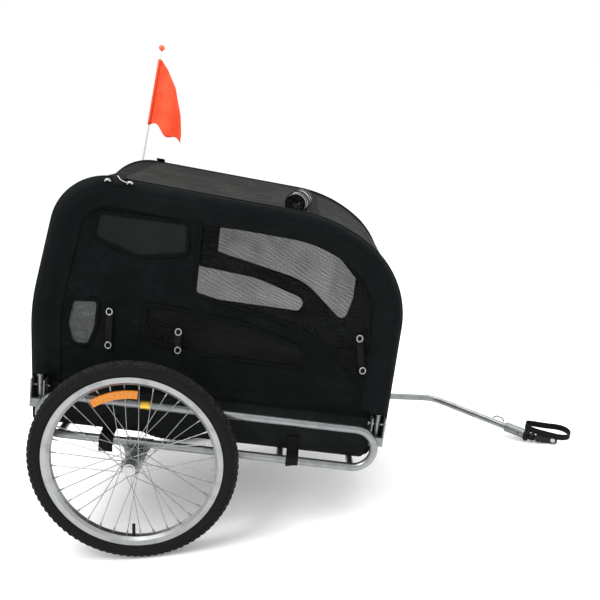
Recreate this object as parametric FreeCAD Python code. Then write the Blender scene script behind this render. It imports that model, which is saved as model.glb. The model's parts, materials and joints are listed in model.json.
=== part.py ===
import FreeCAD, Part
import math
import os

# Covered two-wheel cargo trailer for a bicycle, millimetres, +Z up.
# The trailer is drawn standing level, with x forwards from the axle, y to the left and z up from the
# axle.  It is then tipped nose down about the axle until the hitch rests on the ground, because the
# drawbar has no leg.  The origin is on the ground, under the middle of the outer box.

V = FreeCAD.Vector

# ---- driving dimensions ------------------------------------------------------------------------
WHEEL_R = 254.0            # outside of the 20 inch tyre
WHEEL_Y = 340.0            # middle plane of each wheel
TYRE_W = 41.0
TYRE_WALL = 3.2
RIM_R = 218.0              # outer edge of the rim
RIM_INNER_R = 198.0
RIM_W = 27.0
RIM_WALL = 1.8
SPOKES = 36
SPOKE_D = 2.0
FLANGE_R = 24.0
FLANGE_HOLES_R = 20.5
HUB_HALF = 32.0
HUB_R = 16.0
FLANGE_IN = 7.0            # from the hub's end to the middle of a spoke flange
FLANGE_T = 3.2
BEARING_R = 14.0
BEARING_LEN = 8.0
AXLE_R = 6.0
RUNNING_GAP = 0.05         # radial clearance of a shaft in its bearing
BUTTON_TRAVEL = 3.0

PITCH = 12.8035            # nose-down angle at rest, degrees
CENTRE_X = 467.392         # middle of the outer box, measured along the ground from the axle

TUBE_R = 10.0              # frame tube of the base
TUBE_WALL = 1.5
LOOP_Y = 300.0
LOOP_LOW_Z = 31.0
LOOP_TOP_Z = 131.0
LOOP_REAR_X = -190.0       # centres of the round ends
LOOP_FRONT_X = 526.0
LOOP_JOINT = 0.6           # slit where the ends of the bent tube butt together

PANEL_Y = 262.0            # outer face of the cloth side
CLOTH = 2.0
SEAM = 0.4                 # space between neighbouring cloth pieces
TUB_TOP = 150.0
# corners of the cabin's side view: x, z, rounding radius
CABIN = (
    (-264.0, 42.0, 8.0),
    (-281.0, 335.0, 500.0),
    (-224.0, 668.0, 135.0),
    (416.0, 632.0, 358.0),
    (600.0, 510.0, 226.0),
    (600.0, 105.0, 60.0),
    (554.0, 42.0, 12.0),
)
ROOF_REAR_X = -96.0
ROOF_FRONT_X = 345.0
DOOR_LOW = 168.0
DOOR_TOP = 520.0
DOOR_HALF = 200.0

HOOP_Y = 272.0             # tube of the cabin frame, outside the cloth side
HOOP_INSET = 21.0
HOOP_R = 8.0
HOOP_END_Z = 104.0
TOP_BARS_X = (-70.0, 300.0)
TOP_BAR_R = 7.0
HINGE_Z = 140.0            # pins of the cabin frame's feet
EAR_GAP = 14.0             # from the pin's middle to each ear of a foot bracket
EAR_T = 3.0
PIN_R = 3.0
HOLE_GAP = 0.1             # radial clearance of a fixed pin or bolt

DRAWBAR_Z = 7.0
DRAWBAR_R = 9.5
DRAWBAR_REAR = (318.0, 214.0)
DRAWBAR_BEND = (846.0, 321.0)
DRAWBAR_END = (1052.0, 138.0)
PIVOT = (350.0, 220.5)
CATCH_X = 526.0
BOLT_R = 4.0
COLLAR_R = 14.5
COLLAR_LEN = 64.0
TONGUE_YAW = -22.0         # sideways angle of the tongue at rest

POLE_R = 3.0
POLE_Y = 286.0
POLE_FOOT = (-198.0, 112.0)
POLE_LEAN = 5.3
POLE_LEN = 869.0
POLE_JOINT = 420.0

FLOOR_Z = 42.0
FLOOR_T = 8.0


# ---- helpers -----------------------------------------------------------------------------------
def box(x0, x1, y0, y1, z0, z1):
    return Part.makeBox(x1 - x0, y1 - y0, z1 - z0, V(x0, y0, z0))


def rod(start, end, radius):
    line = end - start
    return Part.makeCylinder(radius, line.Length, start, line)


def pipe(start, end, outer, inner):
    return rod(start, end, outer).cut(rod(start, end, inner))


def ring(profile, centre, axis):
    """Solid of revolution: profile is a list of (distance along the axis, radius)."""
    wire = Part.makePolygon([V(a, 0, r) for a, r in profile] + [V(profile[0][0], 0, profile[0][1])])
    solid = Part.Face(wire).revolve(V(0, 0, 0), V(1, 0, 0), 360)
    solid.Placement = FreeCAD.Placement(centre, FreeCAD.Rotation(V(1, 0, 0), axis))
    return solid


def rounded_wire(corners, closed=True):
    """Wire of straight runs joined by tangent arcs through corners of (point, radius)."""
    count = len(corners)
    inner = range(count) if closed else range(1, count - 1)
    cuts = {}
    for i in inner:
        here, radius = corners[i]
        back = (corners[i - 1][0] - here).normalize()
        ahead = (corners[(i + 1) % count][0] - here).normalize()
        half = back.getAngle(ahead) / 2
        reach = radius / math.tan(half)
        middle = (back + ahead).normalize() * (radius / math.sin(half) - radius)
        cuts[i] = (here + back * reach, here + middle, here + ahead * reach)
    edges = []
    stops = [cuts.get(i, (corners[i][0],) * 3) for i in range(count)]
    for i, (enter, middle, leave) in enumerate(stops):
        if i in cuts:
            edges.append(Part.Arc(enter, middle, leave).toShape())
        if closed or i < count - 1:
            edges.append(Part.makeLine(leave, stops[(i + 1) % count][0]))
    return Part.Wire(edges)


def swept(wire, start, direction, radius):
    profile = Part.Wire(Part.makeCircle(radius, start, direction))
    return wire.makePipeShell([profile], True, True)


def bent_tube(corners, outer, inner=None):
    """Tube along an open path; hollow when inner is given."""
    wire = rounded_wire(corners, closed=False)
    start = corners[0][0]
    direction = corners[1][0] - start
    solid = swept(wire, start, direction, outer)
    return solid if inner is None else solid.cut(swept(wire, start, direction, inner))


def inset(corners, distance):
    """Corners (x, z, radius) of a clockwise outline moved inwards by a distance."""
    moved = []
    for i, (x, z, radius) in enumerate(corners):
        before = corners[i - 1]
        after = corners[(i + 1) % len(corners)]
        a = math.atan2(z - before[1], x - before[0])
        b = math.atan2(after[1] - z, after[0] - x)
        turn = (b - a) / 2
        lean = (a + b) / 2 if abs(b - a) < math.pi else (a + b) / 2 + math.pi
        reach = distance / math.cos(turn)
        point = (x + reach * math.sin(lean), z - reach * math.cos(lean))
        moved.append((*point, max(radius - distance, 3.0)))
    return moved


def cabin_prism(distance, half_width):
    """The cabin's side outline, inset by a distance, as a solid between two side planes."""
    corners = [(V(x, -half_width, z), r) for x, z, r in inset(CABIN, distance)]
    return Part.Face(rounded_wire(corners)).extrude(V(0, 2 * half_width, 0))


def side_view(points, y0, y1):
    """Prism between y0 and y1 of a side outline given as (x, z, radius)."""
    corners = [(V(x, y0, z), r) for x, z, r in points]
    return Part.Face(rounded_wire(corners)).extrude(V(0, y1 - y0, 0))


def mirrored(shape):
    return shape.mirror(V(0, 0, 0), V(0, 1, 0))


def group(shapes):
    return Part.makeCompound(shapes)


# ---- wheels (drawn on the left, y outwards) ------------------------------------------------------
def tyre():
    """Open-bellied tyre: round outside, with straight necks between the walls of the rim."""
    centre_r = WHEEL_R - TYRE_W / 2
    bead_r = RIM_R - 11.0
    edge_r = RIM_R + 0.3
    neck = RIM_W / 2 - RIM_WALL - 0.1
    outer = TYRE_W / 2
    inner = outer - TYRE_WALL
    half = math.sqrt(outer ** 2 - (centre_r - edge_r) ** 2)
    inner_neck = neck - TYRE_WALL
    inner_edge = centre_r - math.sqrt(inner ** 2 - inner_neck ** 2)
    outside = Part.Arc(V(-half, 0, edge_r), V(0, 0, WHEEL_R), V(half, 0, edge_r))
    inside = Part.Arc(V(inner_neck, 0, inner_edge), V(0, 0, centre_r + inner), V(-inner_neck, 0, inner_edge))
    right = [(half, edge_r), (neck, edge_r), (neck, bead_r), (inner_neck, bead_r), (inner_neck, inner_edge)]
    left = [(-y, r) for y, r in reversed(right)]
    edges = [outside.toShape()] + straight_edges(right) + [inside.toShape()] + straight_edges(left)
    solid = Part.Face(Part.Wire(edges)).revolve(V(0, 0, 0), V(1, 0, 0), 360)
    solid.Placement = FreeCAD.Placement(V(0, WHEEL_Y, 0), FreeCAD.Rotation(V(1, 0, 0), V(0, 1, 0)))
    return solid


def straight_edges(points):
    return [Part.makeLine(V(a[0], 0, a[1]), V(b[0], 0, b[1])) for a, b in zip(points, points[1:])]


VALVE_ANGLE = math.radians(-85)


def valve_line():
    out = V(math.cos(VALVE_ANGLE), 0, math.sin(VALVE_ANGLE))
    return V(0, WHEEL_Y, 0) + out * 168, V(0, WHEEL_Y, 0) + out * 219


def inner_tube():
    centre_r = WHEEL_R - TYRE_W / 2
    outer = TYRE_W / 2 - TYRE_WALL - 0.3
    tube = Part.makeTorus(centre_r, outer, V(0, WHEEL_Y, 0), V(0, 1, 0))
    tube = tube.cut(Part.makeTorus(centre_r, outer - 1.2, V(0, WHEEL_Y, 0), V(0, 1, 0)))
    inner_end, outer_end = valve_line()
    stem = rod(inner_end, outer_end, 4.0)
    hollow = rod(inner_end - (outer_end - inner_end) * 0.1, outer_end, 1.2)
    return tube.cut(rod(inner_end, outer_end, 1.2)).fuse(stem.cut(hollow))


def rim():
    half = RIM_W / 2
    seat = RIM_R - 12.0
    profile = [
        (-half, RIM_R), (-half, RIM_INNER_R + 7), (-half + 6, RIM_INNER_R), (half - 6, RIM_INNER_R),
        (half, RIM_INNER_R + 7), (half, RIM_R), (half - RIM_WALL, RIM_R), (half - RIM_WALL, seat),
        (5, seat - 3), (-5, seat - 3), (RIM_WALL - half, seat), (RIM_WALL - half, RIM_R),
    ]
    solid = ring(profile, V(0, WHEEL_Y, 0), V(0, 1, 0))
    inner_end, outer_end = valve_line()
    return solid.cut(rod(inner_end, outer_end, 4.1))


def spoke(number):
    """One laced spoke with its nipple; odd and even spokes leave opposite flanges."""
    side = 1 if number % 2 else -1
    turn = 1 if (number // 2) % 2 else -1
    hub_angle = math.radians(number * 360.0 / SPOKES)
    rim_angle = hub_angle + turn * math.radians(60)
    clear = FLANGE_T / 2 + SPOKE_D / 2 + 0.1
    if side == turn:
        clear += 2.0       # an outer spoke slants back past the flange's edge
    flange_y = WHEEL_Y + side * (HUB_HALF - FLANGE_IN) + turn * clear
    foot = V(FLANGE_HOLES_R * math.cos(hub_angle), flange_y, FLANGE_HOLES_R * math.sin(hub_angle))
    head = V((RIM_INNER_R - 0.2) * math.cos(rim_angle), WHEEL_Y, (RIM_INNER_R - 0.2) * math.sin(rim_angle))
    back = (foot - head).normalize()
    return rod(foot, head, SPOKE_D / 2).fuse(rod(head + back * 12, head + back, 2.0))


def spokes():
    return group([spoke(number) for number in range(SPOKES)])


def hub():
    half = HUB_HALF
    flange = (FLANGE_IN - FLANGE_T / 2, FLANGE_IN + FLANGE_T / 2)
    right = [
        (half - flange[1], HUB_R), (half - flange[1], FLANGE_R), (half - flange[0], FLANGE_R),
        (half - flange[0], HUB_R + 1), (half, HUB_R + 1), (half, BEARING_R),
        (half - BEARING_LEN, BEARING_R), (half - BEARING_LEN, BEARING_R - 3),
    ]
    left = [(-y, r) for y, r in reversed(right)]
    return ring(right + left, V(0, WHEEL_Y, 0), V(0, 1, 0))


def bearings():
    pieces = []
    for start in (WHEEL_Y - HUB_HALF, WHEEL_Y + HUB_HALF - BEARING_LEN):
        end = start + BEARING_LEN
        pieces.append(pipe(V(0, start, 0), V(0, end, 0), BEARING_R, AXLE_R + RUNNING_GAP))
    return group(pieces)


AXLE_IN = 258.0            # inner end of the plug-in axle
AXLE_HEAD = WHEEL_Y + HUB_HALF + 1.5


def axle():
    shaft = rod(V(0, AXLE_IN, 0), V(0, AXLE_HEAD + 4, 0), AXLE_R)
    collar = rod(V(0, 306, 0), V(0, WHEEL_Y - HUB_HALF - 0.6, 0), 9.0)
    head = rod(V(0, AXLE_HEAD, 0), V(0, AXLE_HEAD + 12, 0), 15.0)
    well = rod(V(0, AXLE_HEAD + 3, 0), V(0, AXLE_HEAD + 12, 0), 10.1)
    return shaft.fuse(collar).fuse(head).cut(well)


def axle_button():
    start = AXLE_HEAD + 3 + BUTTON_TRAVEL + 0.5
    return rod(V(0, start, 0), V(0, AXLE_HEAD + 14.5, 0), 10.0)


def spoke_reflector():
    """Bowed amber reflector held between two spokes, near the rim."""
    band = pipe(V(0, WHEEL_Y + 6.5, 0), V(0, WHEEL_Y + 12.5, 0), 184.0, 165.0)
    start = math.radians(90)
    end = math.radians(127)
    wedge = Part.makePolygon([
        V(0, WHEEL_Y, 0), V(400 * math.cos(start), WHEEL_Y, 400 * math.sin(start)),
        V(400 * math.cos(end), WHEEL_Y, 400 * math.sin(end)), V(0, WHEEL_Y, 0),
    ])
    return band.common(Part.Face(wedge).extrude(V(0, 40, 0)))


# ---- base frame ----------------------------------------------------------------------------------
def loop_path():
    middle = (LOOP_REAR_X + LOOP_FRONT_X) / 2
    turn = (LOOP_TOP_Z - LOOP_LOW_Z) / 2
    reach = turn - 0.01
    return [
        (V(middle + LOOP_JOINT / 2, LOOP_Y, LOOP_LOW_Z), 0),
        (V(LOOP_FRONT_X + turn, LOOP_Y, LOOP_LOW_Z), reach),
        (V(LOOP_FRONT_X + turn, LOOP_Y, LOOP_TOP_Z), reach),
        (V(LOOP_REAR_X - turn, LOOP_Y, LOOP_TOP_Z), reach),
        (V(LOOP_REAR_X - turn, LOOP_Y, LOOP_LOW_Z), reach),
        (V(middle - LOOP_JOINT / 2, LOOP_Y, LOOP_LOW_Z), 0),
    ]


def side_loop():
    return bent_tube(loop_path(), TUBE_R, TUBE_R - TUBE_WALL)


def loop_space():
    """What a bracket is hollowed by where it lies against the side loop."""
    return bent_tube(loop_path(), TUBE_R + HOLE_GAP)


def cross_tube(x, loops):
    tube = pipe(V(x, -LOOP_Y, LOOP_LOW_Z), V(x, LOOP_Y, LOOP_LOW_Z), TUBE_R - 1, TUBE_R - 1 - TUBE_WALL)
    for loop in loops:
        tube = tube.cut(loop)
    return max(tube.Solids, key=lambda solid: solid.Volume)


def axle_bracket(loop):
    """Folded steel carrier under the lower rail, with the socket for the plug-in axle."""
    half = 33.0
    top = LOOP_LOW_Z - TUBE_R - 0.2
    plate = box(-half, half, 250, 306, top - 3, top)
    cheek_points = ((-half, top, 1), (half, top, 1), (18, -18, 12), (-18, -18, 12))
    outer = side_view(cheek_points, 303, 306)
    inner = side_view(cheek_points, 250, 253)
    socket = rod(V(0, 250, 0), V(0, 306, 0), 11.0)
    bore = rod(V(0, 240, 0), V(0, 316, 0), AXLE_R + RUNNING_GAP)
    saddle = box(-half, half, LOOP_Y - 8, LOOP_Y + 6, top, LOOP_LOW_Z - 5).cut(loop)
    return plate.fuse([outer, inner, socket, saddle]).cut(bore)


def axle_clip():
    """Snap ring that locks the axle's inner end in its socket."""
    return pipe(V(0, 247.2, 0), V(0, 249.8, 0), 10.0, 7.5)


# ---- cabin frame ---------------------------------------------------------------------------------
def hoop_corners():
    line = inset(CABIN, HOOP_INSET)
    rear_low, rear_mid, rear_top, front_top, front_mid, front_low = line[:6]

    def at_height(a, b, z):
        share = (z - a[1]) / (b[1] - a[1])
        return a[0] + (b[0] - a[0]) * share

    rear_x = at_height(rear_low, rear_mid, HOOP_END_Z)
    front_x = at_height(front_mid, front_low, HOOP_END_Z)
    points = [(rear_x, HOOP_END_Z, 0)] + [rear_mid, rear_top, front_top, front_mid]
    points.append((front_x, HOOP_END_Z, 0))
    return points


def hoop_tube(outer, inner=None):
    corners = [(V(x, HOOP_Y, z), r) for x, z, r in hoop_corners()]
    return bent_tube(corners, outer, inner)


def foot_x(rear):
    line = hoop_corners()
    low, high = (line[0], line[1]) if rear else (line[-1], line[-2])
    return low[0] + (high[0] - low[0]) * (HINGE_Z - low[1]) / (high[1] - low[1])


def hinge_pin_hole(rear, radius):
    x = foot_x(rear)
    return rod(V(x - 40, HOOP_Y, HINGE_Z), V(x + 40, HOOP_Y, HINGE_Z), radius)


def hoop():
    tube = hoop_tube(HOOP_R, HOOP_R - 1.3)
    for rear in (True, False):
        tube = tube.cut(hinge_pin_hole(rear, PIN_R + HOLE_GAP))
    return tube


def foot_bracket(rear, loop):
    """Fork from the round end of the side loop up to the cabin frame's foot."""
    x = foot_x(rear)
    low = 92.0
    high = HINGE_Z + 22
    y0, y1 = HOOP_Y - HOOP_R, LOOP_Y - 3
    back_ear = box(x - EAR_GAP - EAR_T, x - EAR_GAP, y0, y1, low, high)
    front_ear = box(x + EAR_GAP, x + EAR_GAP + EAR_T, y0, y1, low, high)
    web = box(x - EAR_GAP - EAR_T, x + EAR_GAP + EAR_T, y1 - 13, y1, low, low + 22)
    fork = web.fuse([back_ear, front_ear]).cut(loop)
    fork = max(fork.Solids, key=lambda solid: solid.Volume)
    return fork.cut(hinge_pin_hole(rear, PIN_R + HOLE_GAP))


def foot_pin(rear):
    x = foot_x(rear)
    head_x = x - EAR_GAP - 6
    shank = rod(V(head_x, HOOP_Y, HINGE_Z), V(x + EAR_GAP + 9, HOOP_Y, HINGE_Z), PIN_R)
    head = rod(V(head_x - 3, HOOP_Y, HINGE_Z), V(head_x, HOOP_Y, HINGE_Z), 2 * PIN_R)
    return shank.fuse(head)


def foot_plug(rear):
    line = hoop_corners()
    x, z, _ = line[0] if rear else line[-1]
    return rod(V(x, HOOP_Y, z - 1.5), V(x, HOOP_Y, z - 26), HOOP_R + 0.5)


def top_bar(x, z):
    """Cross bar between the two hoops."""
    half = HOOP_Y - HOOP_R - 0.5
    return pipe(V(x, -half, z), V(x, half, z), TOP_BAR_R, TOP_BAR_R - 1.2)


def bar_height(x):
    """Height of the roof line of the hoops over x."""
    line = hoop_corners()
    a, b = line[2], line[3]
    return a[1] + (b[1] - a[1]) * (x - a[0]) / (b[0] - a[0])


# ---- cloth ---------------------------------------------------------------------------------------
# corners of the mesh windows: x, z, rounding radius
WINDOW_FRONT = ((100, 581, 10), (395, 581, 160), (558, 420, 120), (517, 232, 22), (375, 355, 200),
                (100, 412, 10))
WINDOW_BAND = ((-12, 374, 12), (230, 353, 300), (398, 300, 26), (372, 257, 12), (110, 262, 300),
               (-14, 286, 12))
WINDOW_REAR = ((-138, 579, 12), (72, 577, 12), (74, 503, 12), (-37, 482, 60), (-148, 518, 14))
WINDOW_LOW = ((-187, 362, 10), (-124, 368, 10), (-126, 300, 60), (-142, 250, 14), (-184, 253, 18),
              (-198, 305, 50))
WINDOWS = (WINDOW_FRONT, WINDOW_BAND, WINDOW_REAR, WINDOW_LOW)


def window(points, shrink, stand_out):
    """One window of the side cloth, as a solid a little smaller or thicker than the opening."""
    y0 = PANEL_Y - CLOTH - stand_out
    wire = rounded_wire([(V(x, y0, z), r) for x, z, r in points])
    if shrink:
        wire = wire.makeOffset2D(-shrink)
    return Part.Face(wire).extrude(V(0, CLOTH + 2 * stand_out, 0))


def side_sheet():
    return cabin_prism(0.0, PANEL_Y).common(box(-400, 800, PANEL_Y - CLOTH, PANEL_Y, 0, 800))


def side_panel():
    sheet = side_sheet().common(box(-400, 800, 0, 400, TUB_TOP + SEAM, 800))
    for points in WINDOWS:
        sheet = sheet.cut(window(points, 0.0, 1.0))
    for x in TOP_BARS_X:
        z = bar_height(x)
        sheet = sheet.cut(rod(V(x, 0, z), V(x, HOOP_Y, z), TOP_BAR_R + SEAM))
    return sheet


def side_mesh():
    return [window(points, SEAM, 0.0) for points in WINDOWS]


def tub_side():
    return side_sheet().common(box(-400, 800, 0, 400, 0, TUB_TOP))


def wrap_shell():
    half = PANEL_Y - CLOTH - SEAM
    return cabin_prism(0.0, half).cut(cabin_prism(CLOTH, half + 5))


def rear_door_zone(gap):
    return box(-400, -100, -DOOR_HALF - gap, DOOR_HALF + gap, DOOR_LOW - gap, DOOR_TOP + gap)


def wrap_pieces():
    """The strip of cloth that runs over the cabin, cut into its sewn pieces."""
    shell = wrap_shell()
    roof_zone = box(ROOF_REAR_X, ROOF_FRONT_X, -400, 400, 300, 800)
    rear_zone = box(-400, ROOF_REAR_X - SEAM, -400, 400, TUB_TOP + SEAM, 800)
    front_zone = box(ROOF_FRONT_X + SEAM, 800, -400, 400, TUB_TOP + SEAM, 800)
    low_rear = box(-400, -200, -400, 400, FLOOR_Z + FLOOR_T, TUB_TOP)
    low_front = box(500, 800, -400, 400, FLOOR_Z + FLOOR_T, TUB_TOP)
    return {
        "roof_cover": shell.common(roof_zone),
        "rear_panel": shell.common(rear_zone).cut(rear_door_zone(0.5)),
        "rear_door": shell.common(rear_door_zone(0.0)),
        "front_screen": shell.common(front_zone),
        "tub_rear": shell.common(low_rear),
        "tub_front": shell.common(low_front),
    }


def floor_board():
    half = PANEL_Y - CLOTH - SEAM
    board = box(-252, 550, -half, half, FLOOR_Z + 0.3, FLOOR_Z + FLOOR_T)
    return board.common(cabin_prism(CLOTH + SEAM, half))


ROLL_START = V(312, -240, 649)
ROLL_END = V(330, -110, 650)
ROLL_R = 26.0


def cover_roll():
    """Rain cover of the front screen, rolled up and lying on the roof."""
    return rod(ROLL_START, ROLL_END, ROLL_R).cut(cabin_prism(-0.3, PANEL_Y))


def roll_ties():
    """Two webbing loops that hold the rolled cover down on the roof."""
    line = ROLL_END - ROLL_START
    half = line.normalize() * 12
    line = ROLL_END - ROLL_START
    pieces = []
    for share in (0.22, 0.78):
        middle = ROLL_START + line * share
        tie = pipe(middle - half, middle + half, ROLL_R + 2.0, ROLL_R + 0.2)
        pieces.append(tie.cut(cabin_prism(-0.3, PANEL_Y)))
    return group(pieces)


def rail_strap(x, width, low, high, y0, y1):
    """Hook-and-loop band round the lower rail, drawn as its flat outline."""
    band = box(x - width / 2, x + width / 2, y0, y1, low, high)
    core = box(x - width, x + width, y0 + 1.6, y1 - 1.6, low + 1.6, high - 1.6)
    return band.cut(core)


def rail_straps():
    reach = TUBE_R + 2.0
    pieces = []
    for x, width in ((-82.0, 30.0), (385.0, 34.0)):
        pieces.append(rail_strap(x, width, LOOP_LOW_Z - reach - 1, LOOP_LOW_Z + reach + 1,
                                 LOOP_Y - reach, LOOP_Y + reach))
    return pieces


# ---- flag ----------------------------------------------------------------------------------------
POLE_DIR = V(math.sin(math.radians(POLE_LEAN)), 0, math.cos(math.radians(POLE_LEAN)))


def on_pole(distance):
    return V(POLE_FOOT[0], POLE_Y, POLE_FOOT[1]) + POLE_DIR * distance


def flag_holder(loop):
    x = POLE_FOOT[0]
    block = box(x - 9, x + 13, POLE_Y - 7, LOOP_Y - 2, 104, 152)
    block = block.cut(loop)
    block = max(block.Solids, key=lambda solid: solid.Volume)
    return block.cut(rod(on_pole(0), on_pole(80), POLE_R + 0.1))


def pole_lower():
    return rod(on_pole(0), on_pole(POLE_JOINT), POLE_R)


def pole_upper():
    return rod(on_pole(POLE_JOINT), on_pole(POLE_LEN), POLE_R)


def pole_ferrule():
    return pipe(on_pole(POLE_JOINT - 22), on_pole(POLE_JOINT + 22), POLE_R + 1.2, POLE_R)


def pole_ball():
    socket = rod(on_pole(POLE_LEN - 9), on_pole(POLE_LEN), POLE_R)
    return Part.makeSphere(8.5, on_pole(POLE_LEN + 5)).cut(socket)


def flag():
    """Pennant with a sleeve round the pole, drooping from it; (distance down the pole, distance out)."""
    shape = ((28, 3.2), (214, 3.2), (205, 44), (238, 52), (262, 74), (252, 98), (170, 86), (96, 60), (52, 30))
    points = [on_pole(POLE_LEN - down) + V(out, 0, 0) for down, out in shape]
    face = Part.Face(Part.makePolygon([p + V(0, -0.7, 0) for p in points + points[:1]]))
    sleeve = rod(on_pole(POLE_LEN - 214), on_pole(POLE_LEN - 28), POLE_R + 1.1)
    pole = rod(on_pole(POLE_LEN - 300), on_pole(POLE_LEN), POLE_R)
    return face.extrude(V(0, 1.4, 0)).fuse(sleeve).cut(pole)


# ---- drawbar and hitch ---------------------------------------------------------------------------
def drawbar_direction(start, end):
    return (V(*end, 0) - V(*start, 0)).normalize()


def drawbar():
    corners = [
        (V(*DRAWBAR_REAR, DRAWBAR_Z), 0),
        (V(*DRAWBAR_BEND, DRAWBAR_Z), 60.0),
        (V(*DRAWBAR_END, DRAWBAR_Z), 0),
    ]
    tube = bent_tube(corners, DRAWBAR_R, DRAWBAR_R - TUBE_WALL)
    for x, y in (PIVOT, catch_point()):
        tube = tube.cut(rod(V(x, y, DRAWBAR_Z - 20), V(x, y, DRAWBAR_Z + 20), BOLT_R + 0.05))
    return tube


def catch_point():
    along = drawbar_direction(DRAWBAR_REAR, DRAWBAR_BEND)
    return CATCH_X, DRAWBAR_REAR[1] + along.y / along.x * (CATCH_X - DRAWBAR_REAR[0])


BRACKET_TOP = LOOP_LOW_Z - TUBE_R + 1        # underside of the cross tubes
BRACKET_T = 3.0
PLATE_OVER = DRAWBAR_Z + DRAWBAR_R + 0.4
PLATE_UNDER = DRAWBAR_Z - DRAWBAR_R - 0.4


def bar_bracket(x0, x1, y0, y1, cheek):
    """Two plates over and under the drawbar, joined by a cheek (x0, x1, y0, y1) clear of its swing."""
    over = box(x0, x1, y0, y1, PLATE_OVER, BRACKET_TOP)
    under = box(x0, x1, y0, y1, PLATE_UNDER - BRACKET_T, PLATE_UNDER)
    return over.fuse([under, box(*cheek, PLATE_UNDER - BRACKET_T, BRACKET_TOP)])


def pivot_bracket():
    x, y = PIVOT
    body = bar_bracket(x - 48, x + 20, y - 18, y + 18, (x - 48, x - 45, y - 18, y + 18))
    return body.cut(rod(V(x, y, -30), V(x, y, 60), BOLT_R + 0.05))


def catch_bracket():
    x, y = catch_point()
    body = bar_bracket(x - 20, x + 20, y - 18, y + 18, (x - 20, x + 20, y + 16, y + 19))
    mouth = [V(x - 4.3, y, -40), V(x + 4.3, y, -40), V(x + 9, y - 40, -40), V(x - 4.3, y - 40, -40)]
    notch = Part.Face(Part.makePolygon(mouth + mouth[:1])).extrude(V(0, 0, 100))
    return body.cut(notch.fuse(rod(V(x, y, -40), V(x, y, 60), BOLT_R + 0.3)))


def pivot_bolt():
    x, y = PIVOT
    low = PLATE_UNDER - BRACKET_T - 0.2
    shank = rod(V(x, y, low - 8), V(x, y, BRACKET_TOP - 0.2), BOLT_R)
    return shank.fuse(rod(V(x, y, low - 5), V(x, y, low), 2 * BOLT_R))


def catch_bolt():
    x, y = catch_point()
    low = PLATE_UNDER - BRACKET_T - 0.2
    return rod(V(x, y, low - 18), V(x, y, BRACKET_TOP - 0.2), BOLT_R)


def catch_knob():
    """Three-lobed knob on the catch bolt."""
    x, y = catch_point()
    top = PLATE_UNDER - BRACKET_T - 0.4
    body = rod(V(x, y, top - 14), V(x, y, top), 9.0)
    for number in range(3):
        angle = math.radians(120 * number + 30)
        centre = V(x + 13 * math.cos(angle), y + 13 * math.sin(angle), top)
        body = body.fuse(rod(centre - V(0, 0, 14), centre - V(0, 0, 4), 7.0))
    return body.cut(rod(V(x, y, top - 20), V(x, y, top + 1), BOLT_R + 0.05))


COLLAR_DIR = drawbar_direction(DRAWBAR_BEND, DRAWBAR_END)
COLLAR_BACK = V(*DRAWBAR_END, DRAWBAR_Z) - COLLAR_DIR * 12
COLLAR_FRONT = COLLAR_BACK + COLLAR_DIR * COLLAR_LEN
FLANGE_RUBBER_R = 18.0
STRAP_W = 18.0
FLEX = COLLAR_FRONT + COLLAR_DIR * 19      # the coupler's upright flex axis
TRUNNION = 19.0                            # from there to its level flex axis
TONGUE_LIFT = PITCH * math.cos(math.radians(TONGUE_YAW))


def collar():
    """Sleeve on the drawbar's end; its front half holds the rubber coupler."""
    sleeve = pipe(COLLAR_BACK, COLLAR_FRONT, COLLAR_R, DRAWBAR_R)
    side = V(-COLLAR_DIR.y, COLLAR_DIR.x, 0)
    front = COLLAR_BACK + COLLAR_DIR * 40
    return sleeve.cut(rod(front - side * 30, front + side * 30, 3.0))


def collar_bolt():
    side = V(-COLLAR_DIR.y, COLLAR_DIR.x, 0)
    front = COLLAR_BACK + COLLAR_DIR * 40
    shank = rod(front - side * (COLLAR_R + 5), front + side * (COLLAR_R + 3), 3.0)
    head = rod(front - side * (COLLAR_R + 5), front - side * (COLLAR_R + 0.2), 5.5)
    nut = rod(front + side * (COLLAR_R + 0.2), front + side * (COLLAR_R + 5), 5.5)
    return shank.fuse(head).fuse(nut)


def coupler_root():
    """Rubber plug in the collar: a flange that meets the ground at rest, a neck and an upright barrel."""
    plug = rod(COLLAR_BACK + COLLAR_DIR * 13, COLLAR_FRONT + COLLAR_DIR * 0.2, DRAWBAR_R - 0.1)
    flange = rod(COLLAR_FRONT + COLLAR_DIR * 0.2, COLLAR_FRONT + COLLAR_DIR * 8, FLANGE_RUBBER_R)
    neck = rod(COLLAR_FRONT + COLLAR_DIR * 8, FLEX, 4.0)
    barrel = rod(FLEX - V(0, 0, 8), FLEX + V(0, 0, 8), 7.0)
    side = V(-COLLAR_DIR.y, COLLAR_DIR.x, 0)
    front = COLLAR_BACK + COLLAR_DIR * 40
    plug = plug.cut(rod(front - side * 30, front + side * 30, 3.0))
    return plug.fuse([flange, neck, barrel])


def knuckle_frame(shape):
    """Place a shape drawn with +x forwards and its origin on the upright flex axis."""
    moved = shape.copy()
    moved.rotate(V(0, 0, 0), V(0, 0, 1), TONGUE_YAW)
    moved.translate(FLEX)
    return moved


def tongue_frame(shape):
    """Place a shape drawn with +x along the tongue and its origin on the level flex axis."""
    moved = shape.copy()
    moved.rotate(V(0, 0, 0), V(0, 1, 0), -TONGUE_LIFT)
    moved.translate(V(TRUNNION, 0, 0))
    return knuckle_frame(moved)


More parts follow.
